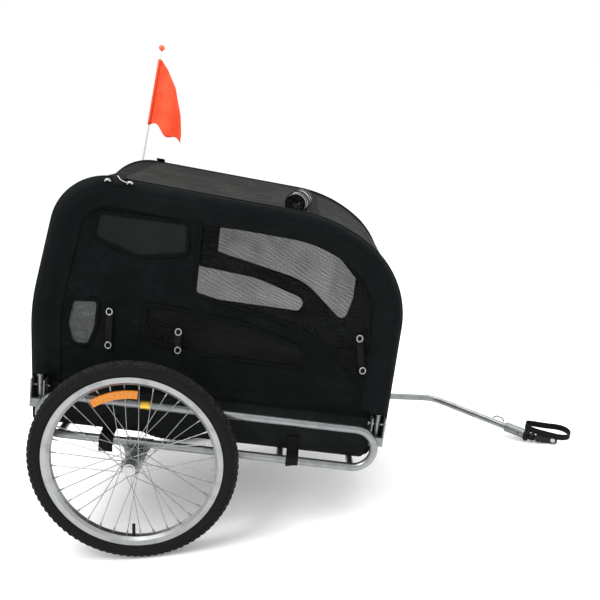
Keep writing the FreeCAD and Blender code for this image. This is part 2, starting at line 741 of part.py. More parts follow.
def coupler_knuckle():
    """Rubber block between the two flex axes, open at the back for the neck."""
    body = rod(V(0, 0, -8), V(0, 0, 8), 11.0).fuse(box(6, TRUNNION, -6, 6, -6, 6))
    body = body.fuse(rod(V(TRUNNION, -7, 0), V(TRUNNION, 7, 0), 7.0))
    body = body.cut(rod(V(0, 0, -20), V(0, 0, 20), 7.0 + RUNNING_GAP))
    relative = math.radians(math.degrees(math.atan2(COLLAR_DIR.y, COLLAR_DIR.x)) - TONGUE_YAW + 180)
    reach = math.radians(66)
    wedge = [V(0, 0, -20)] + [
        V(30 * math.cos(relative + reach * step), 30 * math.sin(relative + reach * step), -20)
        for step in (-1, -0.5, 0, 0.5, 1)
    ]
    body = body.cut(Part.Face(Part.makePolygon(wedge + wedge[:1])).extrude(V(0, 0, 40)))
    pin = rod(V(TRUNNION, -11.5, 0), V(TRUNNION, 11.5, 0), 3.0)
    return knuckle_frame(body.fuse(pin))


def tongue():
    """Flat plastic tongue: two cheeks on the level flex axis and an eye for the hitch pin."""
    outline = [
        (V(9, -8.5, 10.5), 3), (V(56, -8.5, 10.5), 9.5), (V(56, -8.5, -10.5), 9.5), (V(9, -8.5, -10.5), 3),
    ]
    body = Part.Face(rounded_wire(outline)).extrude(V(0, 17, 0))
    for y in (-11.5, 7.5):
        cheek = rod(V(0, y, 0), V(0, y + 4, 0), 7.5).fuse(box(0, 20, y, y + 4, -7.5, 7.5))
        body = body.fuse(cheek)
    body = body.cut(rod(V(0, -20, 0), V(0, 20, 0), 3.0 + RUNNING_GAP))
    return tongue_frame(body.cut(rod(V(44, -20, 0), V(44, 20, 0), 4.05)))


def hitch_pin():
    shank = rod(V(44, -9, 0), V(44, 26, 0), 4.0)
    head = rod(V(44, -13, 0), V(44, -8.6, 0), 6.5)
    return tongue_frame(shank.fuse(head).cut(rod(V(38, 22, 0), V(50, 22, 0), 1.3)))


def pin_clip():
    """Spring ring through the cross hole near the hitch pin's end, folded up."""
    ring_shape = Part.makeTorus(8.0, 1.1, V(44, 22, 0), V(0, 1, 0))
    gap = rod(V(44 - 3.2, 22, 0), V(44 + 3.2, 22, 0), 3.2)
    ring_shape = ring_shape.cut(gap)
    return tongue_frame(max(ring_shape.Solids, key=lambda solid: solid.Volume))


def strap_loop():
    """Webbing safety loop from over the drawbar's end round the front of the hitch, standing on edge."""
    outline = [
        (V(-18, 36, 0), 14), (V(88, 62, 0), 24), (V(107.7, 8, 0), 16),
        (V(63, -26, 0), 30), (V(-4, -17, 0), 14), (V(-24, 6, 0), 8),
    ]
    outer = Part.Face(rounded_wire(outline)).extrude(V(0, 0, STRAP_W))
    inner_wire = rounded_wire(outline).makeOffset2D(-2.4)
    band = outer.cut(Part.Face(inner_wire).extrude(V(0, 0, STRAP_W)))
    band.translate(V(0, 0, FLANGE_RUBBER_R + 0.6))
    return knuckle_frame(band)


def strap_clip():
    """Bent wire clip on top of the drawbar that anchors the safety strap."""
    back = V(*DRAWBAR_END, DRAWBAR_Z) - COLLAR_DIR * 58
    base = back + V(0, 0, DRAWBAR_R + 3.5)
    return bent_tube([
        (base, 0), (base + COLLAR_DIR * 10 + V(0, 0, 9), 3), (base + COLLAR_DIR * 30 + V(0, 0, 9), 3),
        (base + COLLAR_DIR * 38, 0),
    ], 2.2)


# ---- tipping onto the ground ---------------------------------------------------------------------
def tip(vector):
    """Position on the tipped trailer of a point given on the level trailer."""
    return tip_direction(vector) + V(-CENTRE_X, 0, WHEEL_R)


def tip_direction(vector):
    angle = math.radians(PITCH)
    x = vector.x * math.cos(angle) + vector.z * math.sin(angle)
    z = vector.z * math.cos(angle) - vector.x * math.sin(angle)
    return V(x, vector.y, z)


def tip_shape(shape):
    moved = shape.copy()
    moved.rotate(V(0, 0, 0), V(0, 1, 0), PITCH)
    moved.translate(V(-CENTRE_X, 0, WHEEL_R))
    return moved


# ---- assembly ------------------------------------------------------------------------------------
MIRRORED = {
    "tyre": tyre, "inner_tube": inner_tube, "rim": rim, "spokes": spokes, "hub": hub,
    "bearings": bearings, "axle": axle, "axle_button": axle_button, "spoke_reflector": spoke_reflector,
    "side_loop": side_loop, "hoop": hoop, "side_panel": side_panel,
}
SINGLE = {
    "floor_board": floor_board, "cover_roll": cover_roll, "roll_ties": roll_ties,
    "pole_ferrule": pole_ferrule, "pole_ball": pole_ball, "flag": flag, "drawbar": drawbar,
    "catch_knob": catch_knob, "collar": collar, "collar_bolt": collar_bolt, "coupler_root": coupler_root,
    "coupler_knuckle": coupler_knuckle, "tongue": tongue, "hitch_pin": hitch_pin, "pin_clip": pin_clip,
    "strap_loop": strap_loop, "strap_clip": strap_clip,
}


def both_sides(*shapes):
    return group(list(shapes) + [mirrored(shape) for shape in shapes])


def level_pieces():
    loop = loop_space()
    pieces = {name: build() for name, build in SINGLE.items()}
    for name, build in MIRRORED.items():
        shape = build()
        pieces[name + "_left"] = shape
        pieces[name + "_right"] = mirrored(shape)
    bracket = axle_bracket(loop)
    pieces["axle_bracket_left"] = bracket
    pieces["axle_bracket_right"] = mirrored(bracket)
    pieces["axle_clips"] = both_sides(axle_clip())
    pieces["foot_brackets"] = both_sides(foot_bracket(True, loop), foot_bracket(False, loop))
    pieces["foot_pins"] = both_sides(foot_pin(True), foot_pin(False))
    pieces["foot_plugs"] = both_sides(foot_plug(True), foot_plug(False))
    pieces["rail_straps"] = both_sides(*rail_straps())
    pieces["window_mesh"] = both_sides(*side_mesh())
    loops = (loop, mirrored(loop))
    pieces["cross_tubes"] = group([cross_tube(x, loops) for x in (LOOP_REAR_X, PIVOT[0], CATCH_X)])
    pieces["top_bars"] = group([top_bar(x, bar_height(x)) for x in TOP_BARS_X])
    cloth = wrap_pieces()
    walls = both_sides(tub_side()).Solids + [cloth.pop("tub_rear"), cloth.pop("tub_front")]
    pieces["tub_walls"] = group(walls)
    pieces.update(cloth)
    pieces["flag_holder"] = flag_holder(loop)
    pieces["flag_pole"] = group([pole_lower(), pole_upper()])
    pieces["drawbar_brackets"] = group([pivot_bracket(), catch_bracket()])
    pieces["drawbar_bolts"] = group([pivot_bolt(), catch_bolt()])
    return pieces


def main():
    os.makedirs("parts", exist_ok=True)
    for name, shape in level_pieces().items():
        tip_shape(shape).exportStep("parts/" + name + ".step")


main()
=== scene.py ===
import json
import math

import bpy
import numpy as np
from mathutils import Matrix, Vector, noise
from mathutils.geometry import delaunay_2d_cdt


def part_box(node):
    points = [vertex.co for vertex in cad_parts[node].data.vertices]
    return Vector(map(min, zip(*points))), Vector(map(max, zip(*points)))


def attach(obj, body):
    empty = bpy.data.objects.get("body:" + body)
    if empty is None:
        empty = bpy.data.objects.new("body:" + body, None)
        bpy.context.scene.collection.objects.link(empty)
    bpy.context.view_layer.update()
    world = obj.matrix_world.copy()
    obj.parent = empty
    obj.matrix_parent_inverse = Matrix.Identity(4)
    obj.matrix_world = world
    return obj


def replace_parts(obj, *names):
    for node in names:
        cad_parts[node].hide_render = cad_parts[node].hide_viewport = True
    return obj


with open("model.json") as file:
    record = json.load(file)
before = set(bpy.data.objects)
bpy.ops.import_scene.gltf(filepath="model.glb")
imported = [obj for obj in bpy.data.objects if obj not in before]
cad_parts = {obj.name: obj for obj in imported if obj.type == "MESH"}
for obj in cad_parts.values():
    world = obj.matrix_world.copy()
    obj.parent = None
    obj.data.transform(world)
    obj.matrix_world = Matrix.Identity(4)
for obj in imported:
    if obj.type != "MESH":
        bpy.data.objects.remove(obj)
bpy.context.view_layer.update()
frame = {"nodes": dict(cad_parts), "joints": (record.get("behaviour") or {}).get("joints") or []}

JOINTS = {joint["name"]: joint for joint in frame["joints"]}

# ---- frames ------------------------------------------------------------------------------------
# LEVEL takes millimetres on the level trailer (x forwards from the axle, y left, z up from the axle)
# to the row frame, where the trailer stands nose down on its hitch.
UPRIGHT = Vector(JOINTS["drawbar_swing"]["axis"])
PITCH = math.atan2(UPRIGHT.x, UPRIGHT.z)
AXLE = Vector(JOINTS["wheel_left_spin"]["pos_m"])
WHEEL_Y = AXLE.y * 1000
AXLE.y = 0
TIP = Matrix.Rotation(PITCH, 4, "Y")
MM = Matrix.Scale(0.001, 4)
LEVEL = Matrix.Translation(AXLE) @ TIP @ MM
TONGUE_YAW = math.radians(-22)
# KNUCKLE is the same for millimetres from the flexible coupler's middle, x along the tongue.
YAW_POINT = Matrix.Translation(Vector(JOINTS["coupler_yaw"]["pos_m"]))
KNUCKLE = YAW_POINT @ TIP @ Matrix.Rotation(TONGUE_YAW, 4, "Z") @ MM

# ---- dimensions, the same as in the CAD --------------------------------------------------------
WHEEL_R = 254.0
TYRE_R = 20.5
RIM_EDGE_R = 218.0
PANEL_Y = 262.0
CLOTH_T = 1.2
TUB_TOP = 150.0
FLOOR_Z = 42.0
# corners of the cabin's side view and of its windows: x, z, rounding radius
CABIN = (
    (-264, 42, 8), (-281, 335, 500), (-224, 668, 135), (416, 632, 358), (600, 510, 226),
    (600, 105, 60), (554, 42, 12),
)
WINDOWS = {
    "front": ((100, 581, 10), (395, 581, 160), (558, 420, 120), (517, 232, 22), (375, 355, 200),
              (100, 412, 10)),
    "band": ((-12, 374, 12), (230, 353, 300), (398, 300, 26), (372, 257, 12), (110, 262, 300),
             (-14, 286, 12)),
    "rear": ((-138, 579, 12), (72, 577, 12), (74, 503, 12), (-37, 482, 60), (-148, 518, 14)),
    "low": ((-187, 362, 10), (-124, 368, 10), (-126, 300, 60), (-142, 250, 14), (-184, 253, 18),
            (-198, 305, 50)),
}
ROOF_REAR_X = -96.0
ROOF_FRONT_X = 345.0
DOOR_LOW = 168.0
DOOR_TOP = 520.0
DOOR_HALF = 200.0
LOOP_Y = 300.0
LOOP_LOW_Z = 31.0
LOOP_TOP_Z = 131.0
TUBE_R = 10.0
ROLL_START = Vector((312, -240, 649))
ROLL_END = Vector((330, -110, 650))
SIDES = {"right": -1.0, "left": 1.0}


# ---- camera and light --------------------------------------------------------------------------
LENS = 45.9
SENSOR = 36.0
CAMERA_PLACE = (0.0, -2.02835, 1.03872)
CAMERA_FORWARD = (-0.016982, 0.969445, -0.244720)
CAMERA_RIGHT = (0.995340, -0.006843, -0.096180)
LIGHT_TARGET = (0, 0, 0.4)
# name, place, size of its side and power
LIGHTS = (("key", (-1.4, -1.6, 3.2), 1.6, 70), ("top", (0.5, 0.6, 3.4), 1.8, 50),
          ("rim_light", (2.6, 1.4, 1.6), 1.6, 30))


def aim(place, forward, right):
    forward = Vector(forward).normalized()
    right = (Vector(right) - forward * forward.dot(Vector(right))).normalized()
    up = right.cross(forward)
    turned = Matrix((right, up, -forward)).transposed().to_4x4()
    return Matrix.Translation(place) @ turned


def make_camera():
    data = bpy.data.cameras.new("camera")
    data.lens = LENS
    data.sensor_width = SENSOR
    camera = bpy.data.objects.new("camera", data)
    bpy.context.scene.collection.objects.link(camera)
    camera.matrix_world = aim(CAMERA_PLACE, CAMERA_FORWARD, CAMERA_RIGHT)
    bpy.context.scene.camera = camera


def area_light(name, place, side, power):
    data = bpy.data.lights.new(name, "AREA")
    data.shape = "RECTANGLE"
    data.size = data.size_y = side
    data.energy = power
    light = bpy.data.objects.new(name, data)
    bpy.context.scene.collection.objects.link(light)
    turned = (Vector(LIGHT_TARGET) - Vector(place)).to_track_quat("-Z", "Y")
    light.matrix_world = Matrix.Translation(place) @ turned.to_matrix().to_4x4()


def make_studio():
    world = bpy.data.worlds.new("studio")
    bpy.context.scene.world = world
    world.use_nodes = True
    background = world.node_tree.nodes["Background"]
    background.inputs["Color"].default_value = (1.0, 1.0, 1.0, 1.0)
    background.inputs["Strength"].default_value = 1.0
    for light in LIGHTS:
        area_light(*light)
    bpy.context.scene.view_settings.view_transform = "Standard"


# ---- materials ---------------------------------------------------------------------------------
class Paint:
    """One procedural material; every texture is laid in the level trailer's axes, in metres."""

    def __init__(self, name, colour, roughness, metallic=0.0):
        self.material = bpy.data.materials.new(name)
        self.material.use_nodes = True
        self.tree = self.material.node_tree
        self.tree.nodes.clear()
        self.shader = self.node("ShaderNodeBsdfPrincipled")
        self.shader.inputs["Base Color"].default_value = (*colour, 1.0)
        self.shader.inputs["Roughness"].default_value = roughness
        self.shader.inputs["Metallic"].default_value = metallic
        self.output = self.node("ShaderNodeOutputMaterial")
        self.tree.links.new(self.shader.outputs[0], self.output.inputs["Surface"])
        turned = self.node("ShaderNodeMapping")
        turned.inputs["Rotation"].default_value = (0.0, -PITCH, 0.0)
        self.tree.links.new(self.node("ShaderNodeTexCoord").outputs["Object"], turned.inputs["Vector"])
        self.place = turned.outputs["Vector"]
        self.bumped = None

    def node(self, kind, **settings):
        made = self.tree.nodes.new(kind)
        for key, value in settings.items():
            setattr(made, key, value)
        return made

    def put(self, socket, value):
        if isinstance(value, bpy.types.NodeSocket):
            self.tree.links.new(value, socket)
        else:
            socket.default_value = value

    def math(self, operation, a, b=0.0, clamp=False):
        made = self.node("ShaderNodeMath", operation=operation, use_clamp=clamp)
        self.put(made.inputs[0], a)
        self.put(made.inputs[1], b)
        return made.outputs[0]

    def stretched(self, factors):
        made = self.node("ShaderNodeVectorMath", operation="MULTIPLY")
        self.tree.links.new(self.place, made.inputs[0])
        made.inputs[1].default_value = factors
        return made.outputs[0]

    def noise(self, size, detail=3.0, factors=None):
        """Noise whose blotches are about size metres."""
        made = self.node("ShaderNodeTexNoise")
        made.inputs["Scale"].default_value = 1.0 / size
        made.inputs["Detail"].default_value = detail
        self.tree.links.new(self.stretched(factors) if factors else self.place, made.inputs["Vector"])
        return made.outputs["Fac"]

    def wave(self, axis, period, distortion=0.0, detail_scale=1.0):
        """Ripples along an axis, one every period metres."""
        made = self.node("ShaderNodeTexWave", bands_direction=axis)
        made.inputs["Scale"].default_value = 2 * math.pi / (20 * period)
        made.inputs["Distortion"].default_value = distortion
        made.inputs["Detail Scale"].default_value = detail_scale
        self.tree.links.new(self.place, made.inputs["Vector"])
        return made.outputs["Fac"]

    def ranged(self, value, low, high, to_low=0.0, to_high=1.0):
        made = self.node("ShaderNodeMapRange")
        for socket, number in zip(made.inputs, (value, low, high, to_low, to_high)):
            self.put(socket, number)
        return made.outputs[0]

    def blend(self, share, colour_a, colour_b):
        made = self.node("ShaderNodeMix", data_type="RGBA")
        self.put(made.inputs["Factor"], share)
        for socket, colour in ((made.inputs[6], colour_a), (made.inputs[7], colour_b)):
            self.put(socket, colour if isinstance(colour, bpy.types.NodeSocket) else (*colour, 1.0))
        return made.outputs[2]

    def colour(self, value):
        self.put(self.shader.inputs["Base Color"], value)

    def roughness(self, value):
        self.put(self.shader.inputs["Roughness"], value)

    def bump(self, height, depth):
        """Adds relief; depth is in metres."""
        made = self.node("ShaderNodeBump")
        made.inputs["Distance"].default_value = depth
        self.put(made.inputs["Height"], height)
        if self.bumped:
            self.put(made.inputs["Normal"], self.bumped)
        self.bumped = made.outputs[0]
        self.put(self.shader.inputs["Normal"], self.bumped)

    def mixed_with(self, other, share):
        """Lets a share of the surface be another shader."""
        mixed = self.node("ShaderNodeMixShader")
        self.put(mixed.inputs[0], share)
        self.tree.links.new(self.shader.outputs[0], mixed.inputs[1])
        self.tree.links.new(other.outputs[0], mixed.inputs[2])
        self.tree.links.new(mixed.outputs[0], self.output.inputs["Surface"])

    def weave(self, period):
        """Threads along all three axes, so that any face shows two of them crossing."""
        threads = [self.wave(axis, period) for axis in "XYZ"]
        return self.math("ADD", self.math("ADD", threads[0], threads[1]), threads[2])

    def crossing(self, period):
        """Rows of small bumps where ripples along x cross those along y and z."""
        rows = self.math("ADD", self.wave("Z", period), self.wave("Y", period))
        return self.math("MULTIPLY", self.wave("X", period), rows)

    def radius(self, centre_y):
        """Distance from the wheel's axis."""
        made = self.node("ShaderNodeSeparateXYZ")
        moved = self.node("ShaderNodeVectorMath", operation="SUBTRACT")
        self.tree.links.new(self.place, moved.inputs[0])
        moved.inputs[1].default_value = TIP.inverted() @ AXLE + Vector((0, centre_y, 0))
        self.tree.links.new(moved.outputs[0], made.inputs[0])
        squares = [self.math("MULTIPLY", made.outputs[i], made.outputs[i]) for i in (0, 2)]
        return self.math("SQRT", self.math("ADD", *squares))


def cloth(name, colour, light, period=0.0011, roughness=0.85, sheen=0.02, gloss=0.06, crumple=0.0016):
    paint = Paint(name, colour, roughness)
    blotches = paint.noise(0.09, 4.0)
    threads = paint.weave(period)
    share = paint.math("MULTIPLY", paint.ranged(blotches, 0.35, 0.7), paint.ranged(threads, 0.6, 2.6),
                       clamp=True)
    paint.colour(paint.blend(share, colour, light))
    worn = paint.noise(0.02)
    paint.roughness(paint.ranged(worn, 0.3, 0.7, roughness - 0.08, min(roughness + 0.08, 1.0)))
    paint.bump(threads, period * 0.12)
    paint.bump(paint.noise(0.035, 3.0), crumple)
    paint.shader.inputs["Sheen Weight"].default_value = sheen
    paint.shader.inputs["Sheen Roughness"].default_value = 0.4
    paint.shader.inputs["Specular IOR Level"].default_value = gloss
    return paint.material


def net(name, colour, let_through, period=0.0024, lines=0.0092, wander=16.0, contrast=0.14):
    """Open knitted mesh: dark threads round rows of small holes, with the fine wavy lines of a moire."""
    paint = Paint(name, colour, 0.7)
    holes = paint.crossing(period)
    moire = paint.node("ShaderNodeTexWave", bands_direction="DIAGONAL")
    settings = {"Scale": 2 * math.pi / (10 * lines), "Distortion": wander, "Detail": 1.0,
                "Detail Scale": 0.22, "Vector": paint.stretched((0.42, 0.0, 1.0))}
    for socket, value in settings.items():
        paint.put(moire.inputs[socket], value)
    bands = paint.ranged(moire.outputs["Fac"], 0.0, 1.0, 1.0 - contrast, 1.0 + contrast)
    open_share = paint.ranged(holes, 0.2, 0.95, let_through * 0.75, let_through * 1.3)
    share = paint.math("MULTIPLY", open_share, bands, clamp=True)
    paint.mixed_with(paint.node("ShaderNodeBsdfTransparent"), share)
    paint.colour(paint.blend(paint.ranged(holes, 0.0, 0.9), colour, tuple(c * 0.4 for c in colour)))
    paint.bump(holes, 0.0004)
    paint.shader.inputs["Specular IOR Level"].default_value = 0.1
    return paint.material


def metal(name, colour, roughness, dull=0.12, grain=(30.0, 400.0, 400.0)):
    """Drawn or cast metal with a fine grain, faint stains and slight unevenness in its polish."""
    paint = Paint(name, colour, roughness, 1.0)
    grain_lines = paint.noise(1.0, 2.0, grain)
    stains = paint.noise(0.03, 5.0)
    darker = tuple(c * 0.72 for c in colour)
    paint.colour(paint.blend(paint.ranged(stains, 0.45, 0.75), colour, darker))
    uneven = paint.math("ADD", paint.math("MULTIPLY", grain_lines, dull),
                        paint.math("MULTIPLY", stains, dull))
    paint.roughness(paint.math("ADD", uneven, roughness - dull * 0.8))
    paint.bump(grain_lines, 0.00004)
    return paint.material


def plastic(name, colour, roughness, gloss=0.5, grain=0.0012):
    paint = Paint(name, colour, roughness)
    speckle = paint.noise(grain, 2.0)
    worn = paint.noise(0.02, 5.0)
    lighter = tuple(min(c * 1.4 + 0.002, 1.0) for c in colour)
    paint.colour(paint.blend(paint.ranged(worn, 0.5, 0.8), colour, lighter))
    paint.roughness(paint.ranged(worn, 0.3, 0.7, roughness - 0.07, roughness + 0.1))
    paint.bump(speckle, grain * 0.08)
    paint.shader.inputs["Specular IOR Level"].default_value = gloss
    return paint.material


def rubber(name, wheel_y):
    """Tyre: fine sidewall texture, and dust and scuffing out on the tread."""
    paint = Paint(name, (0.006, 0.006, 0.006), 0.75)
    paint.shader.inputs["Specular IOR Level"].default_value = 0.12
    radius = paint.radius(wheel_y)
    patches = paint.ranged(paint.noise(0.02, 5.0), 0.3, 0.7)
    dust = paint.math("MULTIPLY", paint.ranged(radius, 0.243, 0.2535), patches)
    paint.colour(paint.blend(dust, (0.0062, 0.0066, 0.0066), (0.026, 0.026, 0.025)))
    rings = paint.node("ShaderNodeMath", operation="SINE")
    paint.put(rings.inputs[0], paint.math("MULTIPLY", radius, 2 * math.pi / 0.0028))
    paint.bump(rings.outputs[0], 0.00025)
    paint.bump(paint.noise(0.0015, 3.0), 0.0002)
    return paint.material


def webbing(name, colour, period=0.0016):
    paint = Paint(name, colour, 0.7)
    ribs = paint.crossing(period)
    paint.colour(paint.blend(paint.ranged(ribs, 0.0, 1.2), colour, tuple(c * 2.0 + 0.001 for c in colour)))
    paint.bump(ribs, 0.0003)
    paint.shader.inputs["Specular IOR Level"].default_value = 0.12
    return paint.material


def reflector():
    paint = Paint("amber_reflector", (0.70, 0.20, 0.005), 0.22)
    cells = paint.node("ShaderNodeTexVoronoi")
    cells.inputs["Scale"].default_value = 380.0
    paint.tree.links.new(paint.place, cells.inputs["Vector"])
    edges = paint.ranged(cells.outputs["Distance"], 0.1, 0.6)
    paint.colour(paint.blend(edges, (0.68, 0.25, 0.012), (0.50, 0.15, 0.004)))
    paint.bump(cells.outputs["Distance"], 0.0006)
    return paint.material


def flag_cloth():
    paint = Paint("flag_orange", (1.0, 0.12, 0.03), 0.6)
    folds = paint.noise(0.03, 3.0)
    threads = paint.weave(0.0011)
    # painted highlight: the fold crests are painted a lighter orange, following the same fold relief that
    # the bump raises
    paint.colour(paint.blend(paint.ranged(folds, 0.35, 0.7), (1.0, 0.11, 0.028), (1.0, 0.17, 0.06)))
    paint.bump(threads, 0.00012)
    paint.bump(folds, 0.001)
    shine = paint.node("ShaderNodeBsdfTranslucent")
    shine.inputs["Color"].default_value = (1.0, 0.16, 0.04, 1.0)
    paint.mixed_with(shine, 0.4)
    return paint.material


LOOK = {
    "black_cloth": cloth("black_cloth", (0.0024, 0.0034, 0.0035), (0.0060, 0.0076, 0.0078)),
    "sleeve_cloth": cloth("sleeve_cloth", (0.0034, 0.0047, 0.0048), (0.0100, 0.0118, 0.0118),
                          crumple=0.0022),
    "roof_cloth": cloth("roof_cloth", (0.009, 0.010, 0.009), (0.030, 0.033, 0.029), period=0.0016,
                        gloss=0.07),
    "tub_cloth": cloth("tub_cloth", (0.0030, 0.0040, 0.0040), (0.0110, 0.0128, 0.0125), roughness=0.55,
                       gloss=0.10),
    "cover_cloth": cloth("cover_cloth", (0.26, 0.27, 0.27), (0.48, 0.49, 0.49), roughness=0.5, gloss=0.4,
                         crumple=0.003),
    "net": net("window_net", (0.006, 0.007, 0.007), 0.35),
    "lined_net": cloth("lined_net", (0.0095, 0.0110, 0.0110), (0.0150, 0.0170, 0.0165), period=0.0024),
    "film": cloth("creased_film", (0.012, 0.014, 0.014), (0.050, 0.055, 0.052), roughness=0.30, gloss=0.6,
                  crumple=0.012),
    "front_net": net("front_net", (0.0055, 0.0065, 0.0065), 0.03, period=0.0034),
    "piping": webbing("piping", (0.003, 0.0035, 0.0035)),
    "webbing": webbing("webbing", (0.003, 0.003, 0.0035)),
    "thread": webbing("thread", (0.0045, 0.0052, 0.0054), 0.0005),
    "tube": metal("frame_tube", (0.27, 0.28, 0.285), 0.34),
    "zinc": metal("zinc_steel", (0.22, 0.23, 0.23), 0.42, dull=0.2),
    "steel": metal("bright_steel", (0.42, 0.42, 0.42), 0.26),
    "brass": metal("tag_brass", (0.85, 0.55, 0.08), 0.35),
    "rim": metal("rim_aluminium", (0.34, 0.345, 0.35), 0.32, grain=(60.0, 60.0, 60.0)),
    "spoke": metal("spoke_steel", (0.30, 0.31, 0.315), 0.28),
    "hub": metal("hub_steel", (0.24, 0.25, 0.255), 0.32),
    "black_plastic": plastic("black_plastic", (0.006, 0.006, 0.0065), 0.45, gloss=0.25),
    "black_rubber": plastic("black_rubber", (0.007, 0.007, 0.007), 0.70, gloss=0.15, grain=0.002),
    "pole": plastic("pole_fibre", (0.60, 0.60, 0.58), 0.35),
    "orange_plastic": plastic("orange_plastic", (0.90, 0.10, 0.015), 0.35),
    "board": plastic("floor_board", (0.006, 0.006, 0.006), 0.6, gloss=0.1, grain=0.004),
    "amber": reflector(),
    "flag": flag_cloth(),
}


# ---- mesh helpers ------------------------------------------------------------------------------
def rounded(corners, step=6.0):
    """Closed outline through (x, z, radius) corners, as an array of points."""
    points = []
    places = [np.array(corner[:2], float) for corner in corners]
    for i, (_, _, radius) in enumerate(corners):
        here = places[i]
        back = places[i - 1] - here
        ahead = places[(i + 1) % len(corners)] - here
        back /= np.linalg.norm(back)
        ahead /= np.linalg.norm(ahead)
        half = math.acos(np.clip(back @ ahead, -1, 1)) / 2
        middle = back + ahead
        middle /= np.linalg.norm(middle)
        centre = here + middle * radius / math.sin(half)
        start = here + back * radius / math.tan(half) - centre
        end = here + ahead * radius / math.tan(half) - centre
        first = math.atan2(start[1], start[0])
        sweep = (math.atan2(end[1], end[0]) - first + math.pi) % (2 * math.pi) - math.pi
        count = max(2, int(abs(sweep) * radius / step) + 1)
        for k in range(count + 1):
            angle = first + sweep * k / count
            points.append(centre + radius * np.array((math.cos(angle), math.sin(angle))))
    return np.array(points)


def even(points, step, closed=True):
    """The same line with its points about step apart."""
    points = np.asarray(points, float)
    line = np.vstack([points, points[:1]]) if closed else points
    runs = np.linalg.norm(np.diff(line, axis=0), axis=1)
    far = np.concatenate([[0], np.cumsum(runs)])
    count = max(3, int(round(far[-1] / step)))
    stops = np.linspace(0, far[-1], count + 1)
    if closed:
        stops = stops[:-1]
    return np.column_stack([np.interp(stops, far, line[:, k]) for k in range(points.shape[1])])


def inside(points, loop):
    """Which points lie inside a closed loop."""
    x, z = points[:, 0][:, None], points[:, 1][:, None]
    a, b = loop, np.roll(loop, -1, axis=0)
    crosses = (a[:, 1] > z) != (b[:, 1] > z)
    rise = np.where(b[:, 1] == a[:, 1], 1e-9, b[:, 1] - a[:, 1])
    at = a[:, 0] + (z - a[:, 1]) * (b[:, 0] - a[:, 0]) / rise
    return (crosses & (x < at)).sum(axis=1) % 2 == 1


def distance(points, loop):
    """Distance from points to a closed loop."""
    a, b = loop, np.roll(loop, -1, axis=0)
    run = b - a
    best = np.full(len(points), 1e9)
    for p, d in zip(a, run):
        length = max(d @ d, 1e-12)
        share = np.clip(((points - p) @ d) / length, 0, 1)
        best = np.minimum(best, np.linalg.norm(points - p - share[:, None] * d, axis=1))
    return best


def filled(outline, holes, step):
    """Flat region as points and triangles, with an even grid of inner points."""
    loops = [outline] + holes
    points = [p for loop in loops for p in loop]
    edges, first = [], 0
    for loop in loops:
        edges += [(first + i, first + (i + 1) % len(loop)) for i in range(len(loop))]
        first += len(loop)
    low, high = outline.min(axis=0), outline.max(axis=0)
    rows = np.arange(low[1] + step / 2, high[1], step * 0.87)
    grid = np.array([(x + (step / 2 if k % 2 else 0), z) for k, z in enumerate(rows)
                     for x in np.arange(low[0], high[0], step)])
    keep = inside(grid, outline)
    for loop in loops:
        keep &= distance(grid, loop) > step * 0.55
    for hole in holes:
        keep &= ~inside(grid, hole)
    points = np.vstack([np.array(points), grid[keep]])
    made = delaunay_2d_cdt([Vector(p) for p in points], edges, [], 0, 1e-5)
    points = np.array([tuple(p) for p in made[0]])
    triangles = np.array([f for f in made[2] if len(f) == 3])
    centres = points[triangles].mean(axis=1)
    keep = inside(centres, outline)
    for hole in holes:
        keep &= ~inside(centres, hole)
    return points, triangles[keep]


def add(name, points, faces, looks, body="frame", matrix=LEVEL, solid=0.0, indices=None, record=None):
    """A mesh piece riding on a body, from points in the matrix's units; solid is its thickness in mm."""
    mesh = bpy.data.meshes.new(name)
    mesh.from_pydata([tuple(p) for p in points], [], [tuple(int(i) for i in f) for f in faces])
    mesh.transform(matrix)
    mesh.validate()
    for look in looks if isinstance(looks, (list, tuple)) else [looks]:
        mesh.materials.append(LOOK[look])
    if indices is not None:
        mesh.polygons.foreach_set("material_index", np.asarray(indices, np.int32))
    mesh.polygons.foreach_set("use_smooth", np.full(len(mesh.polygons), True))
    piece = bpy.data.objects.new(name, mesh)
    bpy.context.scene.collection.objects.link(piece)
    if solid:
        thicken = piece.modifiers.new("thickness", "SOLIDIFY")
        thicken.thickness = solid * 0.001
        thicken.offset = 0.0
    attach(piece, body)
    return piece


def mirrored(points, faces, side):
    """The same shape on the other side of the trailer."""
    points = np.array(points, float)
    points[:, 1] *= side
    return points, [tuple(f)[::-1] for f in faces] if side > 0 else faces


def add_side(name, shape, side, looks, **more):
    """A piece from the points and faces of the left side, on either side."""
    points, faces = mirrored(*shape, side)
    return add(name, points, faces, looks, **more)


def cut_sheet(name, side, points, cut, look, record, replaced, solid=0.0):
    """A sheet cut flat; cut is its outline, and the points and faces of the flat cut."""
    outline, flat, faces = cut
    piece = add_side(name, (points, faces), side, look, solid=solid, record=record)
    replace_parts(piece, replaced)


def grid_faces(rows, columns, wrap_rows=False, wrap_columns=False):
    faces = []
    for i in range(rows if wrap_rows else rows - 1):
        for j in range(columns if wrap_columns else columns - 1):
            a, b = i * columns + j, i * columns + (j + 1) % columns
            c, d = ((i + 1) % rows) * columns + (j + 1) % columns, ((i + 1) % rows) * columns + j
            faces.append((a, b, c, d))
    return faces


def directions(line, closed):
    """Unit tangents of a 3-D line."""
    ahead = np.roll(line, -1, axis=0) - np.roll(line, 1, axis=0)
    if not closed:
        ahead[0] = line[1] - line[0]
        ahead[-1] = line[-1] - line[-2]
    return ahead / np.linalg.norm(ahead, axis=1)[:, None]


